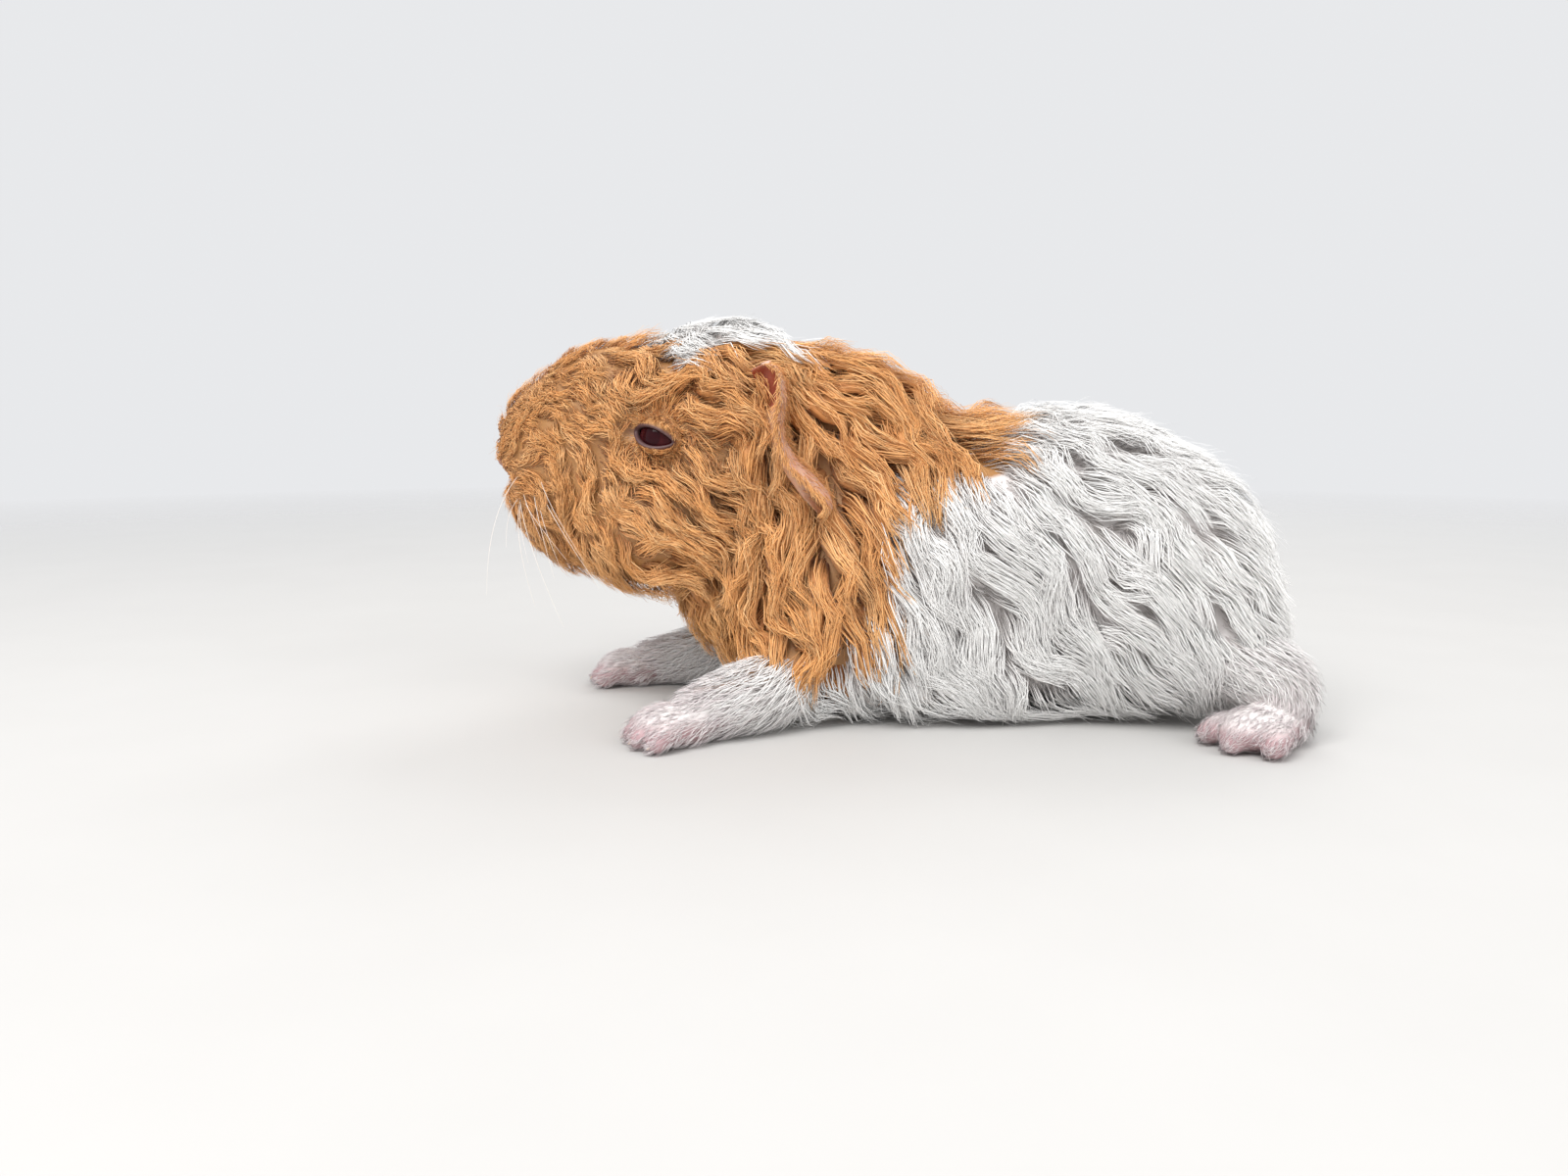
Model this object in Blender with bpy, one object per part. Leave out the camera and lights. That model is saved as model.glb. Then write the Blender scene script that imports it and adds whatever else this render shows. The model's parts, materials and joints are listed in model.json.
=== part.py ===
"""A merino guinea pig pup, life size, as a still model.

Metres, +Z up, nose towards -X, standing on the floor at Z 0.
"""

import math

import bmesh
import bpy
import numpy as np
from mathutils import Matrix, Vector

# Every size below is in millimetres, and MM turns it into metres when a mesh is made.
MM = 0.001
# The gap that nodes keep where they meet.
GAP = 0.3
# What centres the model's box on the origin.
SHIFT = (0.85, 0.0, 0.0)

# The body's masses out to the tips of the coat: centre, radii, pitch in degrees,
# and whether there is one on each side.
MASSES = {
    "nose": ((-58.6, 0, 45.4), (7.3, 6.2, 8.8), 0, False),
    "muzzle": ((-50.6, 0, 39.6), (14.8, 10.0, 16.8), 0, False),
    "brow": ((-44, 0, 49), (17.0, 13.2, 14.3), 0, False),
    "skull": ((-27, 0, 46.5), (20.0, 18.0, 20.0), 0, False),
    "jowl": ((-38, 8.5, 32.5), (14.5, 10.5, 12.5), 0, True),
    "neck": ((-8, 0, 41.5), (22.0, 19.0, 20.5), 20, False),
    "chest": ((-16, 0, 22), (16.0, 20.0, 20.0), 0, False),
    "shoulder": ((-6, 9.5, 21), (18.0, 15.5, 21.0), 0, True),
    "ribs": ((12, 0, 28), (30.0, 24.0, 23.0), 0, False),
    "belly": ((14, 0, 10), (36.0, 22.0, 18.0), 0, False),
    "loin": ((32, 0, 29), (26.0, 23.5, 23.0), 0, False),
    "haunch": ((43, 11, 22), (20.5, 15.5, 22.5), 0, True),
}
BLEND = 2.2
HEM_HEIGHT = 0.8
HEM_BLEND = 1.0

# How far the core lies inside the coat's outline at stations along the body. Short fur has no locks over it.
CORE_AT = (-52, -42, -25, 0, 45, 62)
CORE_DEPTH = (0.0, 1.0, 2.8, 3.4, 3.4, 2.8)

# The line that the rings of the body stand on, and how many rings there are.
SPINE_NOSE = (-46, 0, 42)
SPINE_RUMP = (40, 0, 24)
NOSE_RINGS = 9
TRUNK_RINGS = 16
RUMP_RINGS = 5
RING_SIDES = 32

# Locks of the coat: length, width and thickness at stations along the body, and how closely they are rooted.
LOCK_AT = (-45, -30, -10, 10, 45, 62)
LOCK_LENGTH = (10.0, 16.0, 23.0, 26.0, 25.0, 19.0)
LOCK_WIDTH = (5.8, 7.2, 9.0, 10.0, 10.0, 9.2)
LOCK_THICKNESS = (2.2, 3.6, 4.4, 4.6, 4.6, 4.0)
LOCK_FIRST_ROW = -40.0
LOCK_ROW_STEP = 11.5
LOCK_SPACING = 10.9
# Locks stand closer on the face: places along the body, and the share of the spacing there.
LOCK_CLOSER_AT = (-45, -10)
LOCK_CLOSER = (0.72, 1.0)
LOCK_ROW_RAYS = 72
LOCK_LOWEST_ROOT = 7.0
LOCK_RUMP_LEANS = (66, 38, 12)
LOCK_SUNK = 0.6
LOCK_TIP_FREE = 0.72
LOCK_TIP_LEVEL = -0.3
LOCK_WAVE = 1.3
LOCK_STATIONS = (0.0, 0.26, 0.53, 0.8)
LOCK_TAPER = (0.66, 1.0, 0.94, 0.56)
LOCK_CLEARANCE = 0.9
LOCK_SHORTEST = 0.5
LOCK_CROSSING = 0.6
LOCK_SCATTER = 1.2
LOCK_LENGTH_RANGE = (0.82, 1.15)
LOCK_WIDTH_RANGE = (0.85, 1.15)
LOCK_OFF_EYES = 3.0
LOCK_OFF_EARS = 1.2
LOCK_SEED = 7

# The lie of the coat: how steeply it falls on the back and on the side, in degrees,
# and how it parts along the back.
LIE_AT = (-60, -45, -30, -10, 8, 25, 45, 60)
LIE_ON_BACK = (5, 5, 10, 20, 15, 10, 20, 40)
LIE_ON_SIDE = (20, 35, 58, 76, 66, 52, 52, 70)
LIE_PARTING = 0.45

# The thin cuts between head, neck and torso: a point on each, and how far it leans back from the vertical.
HEAD_CUT = ((-14.5, 0, 42), 33)
TORSO_CUT = ((-5, 0, 34), 40)
CUTTER_SIZE = 200

# Eyes: where the left one sits, its ball, the lids' shell and the opening between them.
EYE_AT = (-36.6, -11.6, 46.6)
EYE_RADIUS = 4.2
LID_THICKNESS = 0.7
FISSURE_LENGTH = 7.2
FISSURE_HEIGHT = 4.2
FISSURE_TILT = 14
FISSURE_POINTED = 0.25
# How far into the eye and beyond it the opening is cut, and the size of the cut at either end.
FISSURE_INNER = (0.3, 0.8)
FISSURE_OUTER = (4.0, 1.25)
EYE_AHEAD = 24
EYE_UP = 6

# Ears, as a petal whose root lies along the head: its midline as (x, z), its width,
# cup and the hood over its top.
EAR_TOP = (-21.5, 58.5)
EAR_BEND = (-17.5, 46.5)
EAR_TIP = (-8.5, 35.0)
EAR_WIDTH = 10.0
EAR_LENGTH = 27.0
EAR_SUNK = 2.4
EAR_CUP = 2.6
EAR_HOOD = 3.6
EAR_THICKNESS = 1.1
EAR_DROOP = 0.18
# Shares of the way down the ear: its ends, where it comes off the head, and where the hood stops.
EAR_ENDS = (0.02, 0.98)
EAR_ROOT_FREE = 0.40
EAR_HOOD_END = 0.34
EAR_OFF_HEAD = 0.42
EAR_OFF_POWER = 1.6
EAR_FULLNESS = 0.62
EAR_LOBES = (0.92, 0.25)
EAR_FLATTENS = 0.4
EAR_RIM_THINNER = 0.35
EAR_LEAST_WIDTH = 0.02
HEAD_SIDE_LIMITS = (12.0, 20.0)
EAR_STEPS = 11
EAR_COLUMNS = 6

# Nose and mouth.
NOSTRIL_AT = (-65.2, 2.3, 43.0)
NOSTRIL_RADII = (2.0, 0.75, 1.25)
NOSTRIL_TURN = 32
FACE_MIDDLE = -52.0
MOUTH_HEIGHT = 33.0
MOUTH_DROP = 3.2
MOUTH_SPREAD = 58
MOUTH_WIDTH = 0.8
MOUTH_DEPTH = 1.4
PHILTRUM_WIDTH = 0.7
PHILTRUM_DEPTH = 1.0
MOUTH_CURVE = 1.5
GROOVE_TAPER = 0.35

# Legs on the left side: joints from the root inside the body to the wrist or heel, with a radius at each.
FRONT_LEG_NEAR = (
    ((-12, -13, 13), 6.8),
    ((-18.5, -18, 7.6), 6.2),
    ((-25.5, -22.8, 5.5), 5.3),
    ((-31, -26, 4.2), 4.3),
)
FRONT_LEG_FAR = (
    ((-15, -10, 15), 6.8),
    ((-26, -13, 8.5), 6.0),
    ((-35.5, -15, 5.4), 5.0),
    ((-42.5, -15.5, 4.0), 4.1),
)
HIND_LEG = (((43, -13, 18), 8.0), ((52.5, -18.5, 13), 7.4), ((59, -24, 9.0), 5.9), ((59.5, -26.5, 4.6), 4.7))
FRONT_PAW = {"toes": 4, "toe_length": 6.0, "toe_radius": 1.95, "palm": (7.2, 5.5, 3.7), "fan": 48}
HIND_PAW = {"toes": 3, "toe_length": 7.2, "toe_radius": 2.25, "palm": (9.8, 5.3, 3.7), "fan": 40}
# A toe's root lies at these shares of the palm's length, width and height, and outer toes start further back.
TOE_ROOT = (0.55, 0.62, 0.62)
TOE_SET_BACK = 0.14
TOE_KNUCKLE = 0.55
TOE_ARCH = 0.25
TOE_END_HEIGHT = 0.86
TOE_TAPER = (0.95, 1.08, 0.92)
PALM_AHEAD = 0.45
PALM_HEIGHT = 0.8
CLAW_LENGTH = 2.2
CLAW_RADIUS = 0.62
CLAW_TIP_RADIUS = 0.28
CLAW_SUNK = 0.55
CLAW_ABOVE_TOE = 0.25
CLAW_DROP = 0.55

# Each limb's joints, its paw, how far it turns out, and its side: -1 is the animal's left.
LIMBS = {
    "foreleg_left": (FRONT_LEG_NEAR, FRONT_PAW, 22, -1),
    "foreleg_right": (FRONT_LEG_FAR, FRONT_PAW, 2, 1),
    "hindleg_left": (HIND_LEG, HIND_PAW, 36, -1),
    "hindleg_right": (HIND_LEG, HIND_PAW, 36, 1),
}
SIDES = {"left": -1, "right": 1}

COLOURS = {
    "gold_coat": (0.66, 0.40, 0.17),
    "white_coat": (0.84, 0.84, 0.81),
    "pink_skin": (0.72, 0.42, 0.36),
    "eye": (0.045, 0.012, 0.014),
    "claw": (0.80, 0.66, 0.56),
}
ROUGHNESS = {"gold_coat": 0.8, "white_coat": 0.8, "pink_skin": 0.55, "eye": 0.06, "claw": 0.35}
SHARP_ANGLE = 50


# Meshes and how they are joined and cut


def clear_scene():
    for obj in list(bpy.data.objects):
        bpy.data.objects.remove(obj)


def material(name):
    """A Principled material of one of the named colours."""
    found = bpy.data.materials.get(name)
    if found:
        return found
    made = bpy.data.materials.new(name)
    made.use_nodes = True
    shader = made.node_tree.nodes["Principled BSDF"]
    shader.inputs["Base Color"].default_value = (*COLOURS[name], 1)
    shader.inputs["Roughness"].default_value = ROUGHNESS[name]
    return made


def mesh_object(name, points, faces, finish="white_coat"):
    """A mesh object from points in millimetres, in triangles that all face outwards."""
    mesh = bpy.data.meshes.new(name)
    mesh.from_pydata(((np.asarray(points, float) + SHIFT) * MM).tolist(), [], faces)
    work = bmesh.new()
    work.from_mesh(mesh)
    bmesh.ops.recalc_face_normals(work, faces=work.faces)
    bmesh.ops.triangulate(work, faces=work.faces)
    work.to_mesh(mesh)
    work.free()
    mesh.materials.append(material(finish))
    obj = bpy.data.objects.new(name, mesh)
    bpy.context.scene.collection.objects.link(obj)
    return obj


def ball(name, centre, radii, finish="white_coat", turn=0.0, segments=14, rings=8):
    """An ellipsoid, turned about the vertical by the given angle."""
    mesh = bpy.data.meshes.new(name)
    work = bmesh.new()
    place = Matrix.Translation((Vector(centre) + Vector(SHIFT)) * MM)
    shape = Matrix.Rotation(turn, 4, "Z") @ Matrix.Diagonal((*[r * MM for r in radii], 1))
    bmesh.ops.create_uvsphere(work, u_segments=segments, v_segments=rings, radius=1, matrix=place @ shape)
    bmesh.ops.triangulate(work, faces=work.faces)
    work.to_mesh(mesh)
    work.free()
    mesh.materials.append(material(finish))
    obj = bpy.data.objects.new(name, mesh)
    bpy.context.scene.collection.objects.link(obj)
    return obj


def copy_of(obj, name):
    made = obj.copy()
    made.data = obj.data.copy()
    made.name = name
    made.data.name = name
    bpy.context.scene.collection.objects.link(made)
    return made


def combine(obj, others, operation, solver="EXACT"):
    """Joins others to obj, or cuts them from it, and removes them. One closed surface stays."""
    group = bpy.data.collections.new("operands")
    bpy.context.scene.collection.children.link(group)
    for other in others:
        bpy.context.scene.collection.objects.unlink(other)
        group.objects.link(other)
    modifier = obj.modifiers.new("combine", "BOOLEAN")
    modifier.operation = operation
    modifier.solver = solver
    modifier.operand_type = "COLLECTION"
    modifier.collection = group
    graph = bpy.context.evaluated_depsgraph_get()
    joined = bpy.data.meshes.new_from_object(obj.evaluated_get(graph))
    obj.modifiers.clear()
    before = obj.data
    obj.data = joined
    bpy.data.meshes.remove(before)
    for other in others:
        bpy.data.objects.remove(other)
    bpy.data.collections.remove(group)
    keep_largest(obj)


def shell_volume(shell):
    return sum(f.verts[0].co.dot(f.verts[1].co.cross(f.verts[2].co)) for f in shell) / 6


def keep_largest(obj):
    """Keeps the closed surface that holds most, which drops loose scraps and fills sealed hollows."""
    work = bmesh.new()
    work.from_mesh(obj.data)
    bmesh.ops.remove_doubles(work, verts=work.verts, dist=1e-7)
    bmesh.ops.triangulate(work, faces=work.faces)
    unseen = set(work.faces)
    shells = []
    while unseen:
        shell, found = set(), [unseen.pop()]
        while found:
            face = found.pop()
            shell.add(face)
            near = {other for edge in face.edges for other in edge.link_faces} & unseen
            unseen -= near
            found.extend(near)
        shells.append(shell)
    largest = max(shells, key=shell_volume)
    loose = [face for shell in shells if shell is not largest for face in shell]
    bmesh.ops.delete(work, geom=loose, context="FACES")
    work.to_mesh(obj.data)
    work.free()


def shade(obj):
    obj.data.shade_smooth()
    obj.data.set_sharp_from_angle(angle=math.radians(SHARP_ANGLE))


# The coat's outline as a field, and the surfaces that lie in it


def outside_of_coat(points):
    """Signed distance in millimetres from the outline of the coat, below zero inside it."""
    total = np.zeros(len(points))
    for centre, radii, pitch, paired in MASSES.values():
        radii = np.array(radii, float)
        turn = math.radians(pitch)
        for side in (-1, 1) if paired else (1,):
            away = points - np.array(centre, float) * (1, side, 1)
            along = away[:, 0] * math.cos(turn) - away[:, 2] * math.sin(turn)
            above = away[:, 0] * math.sin(turn) + away[:, 2] * math.cos(turn)
            local = np.column_stack([along, away[:, 1], above])
            share = np.linalg.norm(local / radii, axis=1)
            slope = np.linalg.norm(local / radii**2, axis=1)
            total += np.exp(-share * (share - 1) / np.maximum(slope, 1e-6) / BLEND)
    body = -BLEND * np.log(np.maximum(total, 1e-300))
    floor = HEM_HEIGHT - points[:, 2]
    return HEM_BLEND * np.logaddexp(body / HEM_BLEND, floor / HEM_BLEND)


def core_depth(points):
    return np.interp(points[:, 0], CORE_AT, CORE_DEPTH)


def outside_of_core(points):
    """Signed distance from the core, which lies inside the outline by less than half of the coat's depth."""
    return outside_of_coat(points) + core_depth(points)


def cast(origins, directions, field, reach=70.0):
    """Where rays from inside the body meet a field's zero, found by halving."""
    near = np.zeros(len(origins))
    far = np.full(len(origins), reach)
    for _ in range(26):
        middle = (near + far) / 2
        inside = field(origins + directions * middle[:, None]) < 0
        near = np.where(inside, middle, near)
        far = np.where(inside, far, middle)
    return origins + directions * near[:, None]


def normals_at(points, field, step=0.2):
    """The field's slope, as unit vectors that point outwards."""
    slopes = [field(points + step * axis) - field(points - step * axis) for axis in np.eye(3)]
    found = np.column_stack(slopes)
    return found / np.linalg.norm(found, axis=1)[:, None]


def spine_axes():
    """The spine's ends, the way from rump to nose, and the two ways across it: to the right side and up."""
    nose, rump = np.array(SPINE_NOSE, float), np.array(SPINE_RUMP, float)
    forward = (nose - rump) / np.linalg.norm(nose - rump)
    across = np.array((0.0, 1.0, 0.0))
    return nose, rump, forward, across, np.cross(across, forward)


def spine_ring(place, lean, count=RING_SIDES):
    """Rays from a share of the spine, counted from the nose. lean tips them towards the nose."""
    nose, rump, forward, across, up = spine_axes()
    angles = np.linspace(0, 2 * math.pi, count, endpoint=False)
    spokes = np.outer(np.cos(angles), across) + np.outer(np.sin(angles), up)
    directions = spokes * math.cos(lean) + forward * math.sin(lean)
    return np.tile(nose + (rump - nose) * place, (count, 1)), directions


def body_rays():
    """Origins and directions of the body's rays, ring by ring from nose to rump, with one at each end."""
    nose, rump, forward, _, _ = spine_axes()
    quarter = math.pi / 2
    rings = [spine_ring(0, quarter * (1 - k / NOSE_RINGS)) for k in range(1, NOSE_RINGS + 1)]
    rings += [spine_ring(k / TRUNK_RINGS, 0) for k in range(1, TRUNK_RINGS)]
    rings += [spine_ring(1, -quarter * (1 - k / RUMP_RINGS)) for k in range(RUMP_RINGS, 0, -1)]
    origins = np.vstack([nose[None], *[origin for origin, _ in rings], rump[None]])
    directions = np.vstack([forward[None], *[direction for _, direction in rings], -forward[None]])
    return origins, directions


def ring_faces(rings, sides):
    """Quads between rings that follow a first point, and fans that close both ends."""
    last = 1 + (rings - 1) * sides
    faces = []
    for k in range(sides):
        after = (k + 1) % sides
        faces.append((0, 1 + k, 1 + after))
        faces.append((last + k, last + sides, last + after))
        for first in range(1, last, sides):
            faces.append((first + k, first + sides + k, first + sides + after, first + after))
    return faces


def build_core(name):
    origins, directions = body_rays()
    points = cast(origins, directions, outside_of_core)
    rings = (len(points) - 2) // RING_SIDES
    return mesh_object(name, points, ring_faces(rings, RING_SIDES))


# The thin cuts


def cut_plane(cut):
    """A point on the cut and its normal, which points back and down."""
    place, lean = cut
    turn = math.radians(lean)
    return np.array(place, float), np.array((math.cos(turn), 0, -math.sin(turn)))


def cut_box(cut, side):
    """A large box that removes what lies behind a cut (side 1) or before it (side -1), and half a gap."""
    place, normal = cut_plane(cut)
    normal = normal * side
    across = np.array((0.0, 1.0, 0.0))
    up = np.cross(normal, across)
    start = place - normal * GAP / 2
    corners = []
    for depth in (0, CUTTER_SIZE):
        for a, b in ((-1, -1), (1, -1), (1, 1), (-1, 1)):
            corners.append(start + normal * depth + (across * a + up * b) * CUTTER_SIZE / 2)
    return box_of("cut", corners)


def floor_box():
    """What lies below the floor."""
    half = CUTTER_SIZE / 2
    square = ((-half, -half), (half, -half), (half, half), (-half, half))
    return box_of("below_floor", [(x, y, z) for z in (-half, 0) for x, y in square])


def box_of(name, corners):
    faces = [(0, 1, 2, 3), (7, 6, 5, 4), (0, 4, 5, 1), (1, 5, 6, 2), (2, 6, 7, 3), (3, 7, 4, 0)]
    return mesh_object(name, corners, faces)


# Legs, paws and claws


def tube(name, path, radii, sides=11, finish="white_coat", grow=0.0, caps=(45,)):
    """A closed tube along a path. caps are the angles of the rings that round its ends."""
    path = np.array(path, float)
    radii = np.array(radii, float) + grow
    ahead = np.gradient(path, axis=0)
    ahead /= np.linalg.norm(ahead, axis=1)[:, None]

    def cap_ring(end, lean, outwards):
        turn = math.radians(lean)
        place = path[end] + ahead[end] * radii[end] * math.cos(turn) * outwards
        return place, ahead[end], radii[end] * math.sin(turn)

    rings = [cap_ring(0, lean, -1) for lean in caps]
    rings += list(zip(path, ahead, radii))
    rings += [cap_ring(-1, lean, 1) for lean in caps[::-1]]
    across = np.eye(3)[np.argmin(np.abs(ahead[0]))]
    points = [path[0] - ahead[0] * radii[0]]
    for centre, direction, radius in rings:
        across = across - direction * np.dot(across, direction)
        across /= np.linalg.norm(across)
        up = np.cross(across, direction)
        for t in np.linspace(0, 2 * math.pi, sides, endpoint=False):
            points.append(centre + radius * (across * math.cos(t) + up * math.sin(t)))
    points.append(path[-1] + ahead[-1] * radii[-1])
    return mesh_object(name, points, ring_faces(len(rings), sides), finish)


def smooth_path(joints, steps=2):
    """A smooth curve through a limb's joints, with the radius at each of its points."""
    knots = np.array([(*place, radius) for place, radius in joints], float)
    slopes = np.gradient(knots, axis=0)
    made = []
    for t in np.linspace(0, len(knots) - 1, (len(knots) - 1) * steps + 1):
        k = min(int(t), len(knots) - 2)
        s = t - k
        start = (1 + 2 * s) * (1 - s) ** 2 * knots[k] + s * (1 - s) ** 2 * slopes[k]
        end = s * s * (3 - 2 * s) * knots[k + 1] + s * s * (s - 1) * slopes[k + 1]
        made.append(start + end)
    made = np.array(made)
    return made[:, :3], made[:, 3]


def on_side(joints, side):
    """The joints, which are written for the left, on the given side."""
    return tuple(((x, side * -y, z), radius) for (x, y, z), radius in joints)


def paw_frame(joints, turn, side):
    """The wrist or heel on the floor, and the way that the paw points."""
    (x, y, _), _ = joints[-1]
    angle = math.radians(180 - side * turn)
    return np.array((x, y, 0.0)), np.array((math.cos(angle), math.sin(angle), 0.0)), angle


def toe_lines(kind, wrist, ahead, angle):
    """Each toe's root, knuckle, end and way, fanned about the paw's middle."""
    length, width, height = kind["palm"]
    across = np.array((-ahead[1], ahead[0], 0.0))
    lines = []
    for share in np.linspace(-1, 1, kind["toes"]):
        fan = angle + math.radians(kind["fan"] / 2) * share
        way = np.array((math.cos(fan), math.sin(fan), 0.0))
        middle_most = 1 - TOE_SET_BACK * share**2
        forth, out, up = TOE_ROOT
        root = wrist + ahead * length * forth * middle_most + across * width * out * share
        root[2] += height * up
        reach = kind["toe_length"] * middle_most
        knuckle = root + way * reach * TOE_KNUCKLE + (0, 0, TOE_ARCH)
        end = root + way * reach
        end[2] = kind["toe_radius"] * TOE_END_HEIGHT
        lines.append((root, knuckle, end, way))
    return lines


def claw(name, line, grow=0.0):
    """A short curved claw that starts inside the toe and points ahead and down."""
    _, _, end, way = line
    start = end - way * CLAW_SUNK + (0, 0, CLAW_ABOVE_TOE)
    shares = np.linspace(0, 1, 3)
    path = [start + way * CLAW_LENGTH * s - np.array((0, 0, CLAW_DROP * s**2)) for s in shares]
    radii = [CLAW_RADIUS + (CLAW_TIP_RADIUS - CLAW_RADIUS) * s for s in shares]
    return tube(name, path, radii, sides=5, finish="claw", grow=grow)


def palm(name, kind, joints, turn, side, grow=0.0):
    wrist, ahead, angle = paw_frame(joints, turn, side)
    length, width, height = kind["palm"]
    middle = wrist + ahead * length * PALM_AHEAD + (0, 0, height * PALM_HEIGHT)
    radii = (length + grow, width + grow, height + grow)
    return ball(name, middle, radii, turn=angle, segments=12, rings=7)


def build_paw(name, kind, joints, turn, side):
    paw = palm(name, kind, joints, turn, side)
    lines = toe_lines(kind, *paw_frame(joints, turn, side))
    toe_radii = [kind["toe_radius"] * share for share in TOE_TAPER]
    pieces = [tube("toe", line[:3], toe_radii, sides=7) for line in lines]
    path, radii = smooth_path(joints)
    pieces.append(tube("wrist", path[-2:], radii[-2:]))
    combine(paw, pieces, "UNION")
    combine(paw, [claw("claw_room", line, grow=GAP) for line in lines], "DIFFERENCE")
    combine(paw, [floor_box()], "DIFFERENCE")
    return paw, lines


def leg_tube(name, joints, grow=0.0):
    path, radii = smooth_path(joints)
    return tube(name, path[:-1], radii[:-1], grow=grow)


def build_limb(name, joints, kind, turn, side):
    """A leg, its paw and its claws. Returns the solids that make room for them in the body."""
    joints = on_side(joints, side)
    paw, lines = build_paw(name.replace("leg", "paw"), kind, joints, turn, side)
    leg = leg_tube(name, joints)
    path, radii = smooth_path(joints)
    wrist_room = tube("wrist_room", path[-2:], radii[-2:], grow=GAP)
    combine(leg, [wrist_room, palm("palm_room", kind, joints, turn, side, GAP)], "DIFFERENCE")
    combine(leg, [floor_box()], "DIFFERENCE")
    claws = [claw(f"{name.replace('leg', 'claw')}_{k + 1}", line) for k, line in enumerate(lines)]
    for piece in (leg, paw, *claws):
        shade(piece)
    return [leg_tube("leg_room", joints, GAP), palm("palm_room", kind, joints, turn, side, GAP)]


# Ears


def head_side(x, z):
    """Half the head's width at a place on its side, kept within a root that the ear can grow from."""
    found = cast(np.array([(x, 0.0, z)]), np.array([(0.0, 1.0, 0.0)]), outside_of_core)
    narrow, wide = HEAD_SIDE_LIMITS
    return min(max(found[0, 1], narrow), wide)


def ear_point(a, b, side, lift):
    """A point of the ear's sheet: a runs from top to tip, b from root to rim, and lift is off the sheet."""
    top, bend, tip = (np.array(p, float) for p in (EAR_TOP, EAR_BEND, EAR_TIP))
    x, z = (1 - a) ** 2 * top + 2 * a * (1 - a) * bend + a * a * tip
    away = 2 * (1 - a) * (bend - top) + 2 * a * (tip - bend)
    away /= np.linalg.norm(away)
    free = min(max((a - EAR_ROOT_FREE) / (1 - EAR_ROOT_FREE), 0.0), 1.0)
    inner = -EAR_SUNK + (EAR_SUNK + EAR_OFF_HEAD * EAR_WIDTH) * free**EAR_OFF_POWER
    top_lobe, lost_by_tip = EAR_LOBES
    lobe = math.sin(math.pi * min(a, 1.0)) ** EAR_FULLNESS * (top_lobe - lost_by_tip * a)
    outer = EAR_WIDTH * (EAR_OFF_HEAD * a + lobe)
    width = inner + (max(outer, inner + EAR_LEAST_WIDTH) - inner) * b
    back = EAR_CUP * math.sin(math.pi * min(max(b, 0), 1)) * (1 - EAR_FLATTENS * a)
    hood = EAR_HOOD * max(0.0, 1 - a / EAR_HOOD_END) ** 1.5 * b
    across = side * (head_side(x, z) + width)
    return x + back - hood - lift * away[1], across, z + lift * away[0] - EAR_DROOP * width


def build_ear(name, side, grow=0.0):
    """The ear as a sheet with two faces and a rim."""
    columns = EAR_COLUMNS + 1
    front, back = [], []
    for i in range(EAR_STEPS + 1):
        share = i / EAR_STEPS
        a = EAR_ENDS[0] + (EAR_ENDS[1] - EAR_ENDS[0]) * share + (2 * share - 1) * grow / EAR_LENGTH
        for j in range(columns):
            b = j / EAR_COLUMNS
            thin = EAR_THICKNESS / 2 * (1 - EAR_RIM_THINNER * b) + grow
            b += (2 * b - 1) * grow / EAR_WIDTH
            front.append(ear_point(a, b, side, thin))
            back.append(ear_point(a, b, side, -thin))
    count = len(front)
    faces = []
    for i in range(EAR_STEPS):
        for j in range(EAR_COLUMNS):
            a, b = i * columns + j, i * columns + j + 1
            c, d = b + columns, a + columns
            faces += [(a, b, c), (a, c, d)]
            faces += [(count + a, count + c, count + b), (count + a, count + d, count + c)]
    rim = list(range(columns))
    rim += [i * columns + EAR_COLUMNS for i in range(1, EAR_STEPS + 1)]
    rim += [EAR_STEPS * columns + j for j in range(EAR_COLUMNS - 1, -1, -1)]
    rim += [i * columns for i in range(EAR_STEPS - 1, 0, -1)]
    for a, b in zip(rim, rim[1:] + rim[:1]):
        faces += [(a, count + a, count + b), (a, count + b, b)]
    return mesh_object(name, front + back, faces, "pink_skin")


# Eyes, nose and mouth


def eye_centre(side):
    x, y, z = EYE_AT
    return np.array((x, side * -y, z), float)


def eye_axes(side):
    """The way that an eye looks, and the long and the high way of the opening between its lids."""
    ahead, up = math.radians(EYE_AHEAD), math.radians(EYE_UP)
    axis = np.array((-math.sin(ahead), side * math.cos(ahead) * math.cos(up), math.sin(up)))
    axis /= np.linalg.norm(axis)
    level = np.cross(axis, (0.0, 0.0, 1.0)) * -side
    level /= np.linalg.norm(level)
    rise = np.cross(level, axis) * side
    cosine, sine = math.cos(math.radians(FISSURE_TILT)), math.sin(math.radians(FISSURE_TILT))
    return axis, level * cosine - rise * sine, level * sine + rise * cosine


def fissure_cutter(side):
    """The almond opening between the lids, which widens outwards."""
    axis, long_way, high_way = eye_axes(side)
    ring = []
    for t in np.linspace(0, 2 * math.pi, 14, endpoint=False):
        high = math.sin(t) * (1 - FISSURE_POINTED * math.cos(t) ** 2) * FISSURE_HEIGHT / 2
        ring.append(long_way * math.cos(t) * FISSURE_LENGTH / 2 + high_way * high)
    points = []
    (inner, small), (beyond, large) = FISSURE_INNER, FISSURE_OUTER
    for depth, size in ((EYE_RADIUS * inner, small), (EYE_RADIUS + beyond, large)):
        points += [eye_centre(side) + axis * depth + p * size for p in ring]
    n = len(ring)
    faces = [tuple(range(n - 1, -1, -1)), tuple(range(n, 2 * n))]
    faces += [(k, (k + 1) % n, n + (k + 1) % n, n + k) for k in range(n)]
    return mesh_object("fissure", points, faces)


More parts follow.
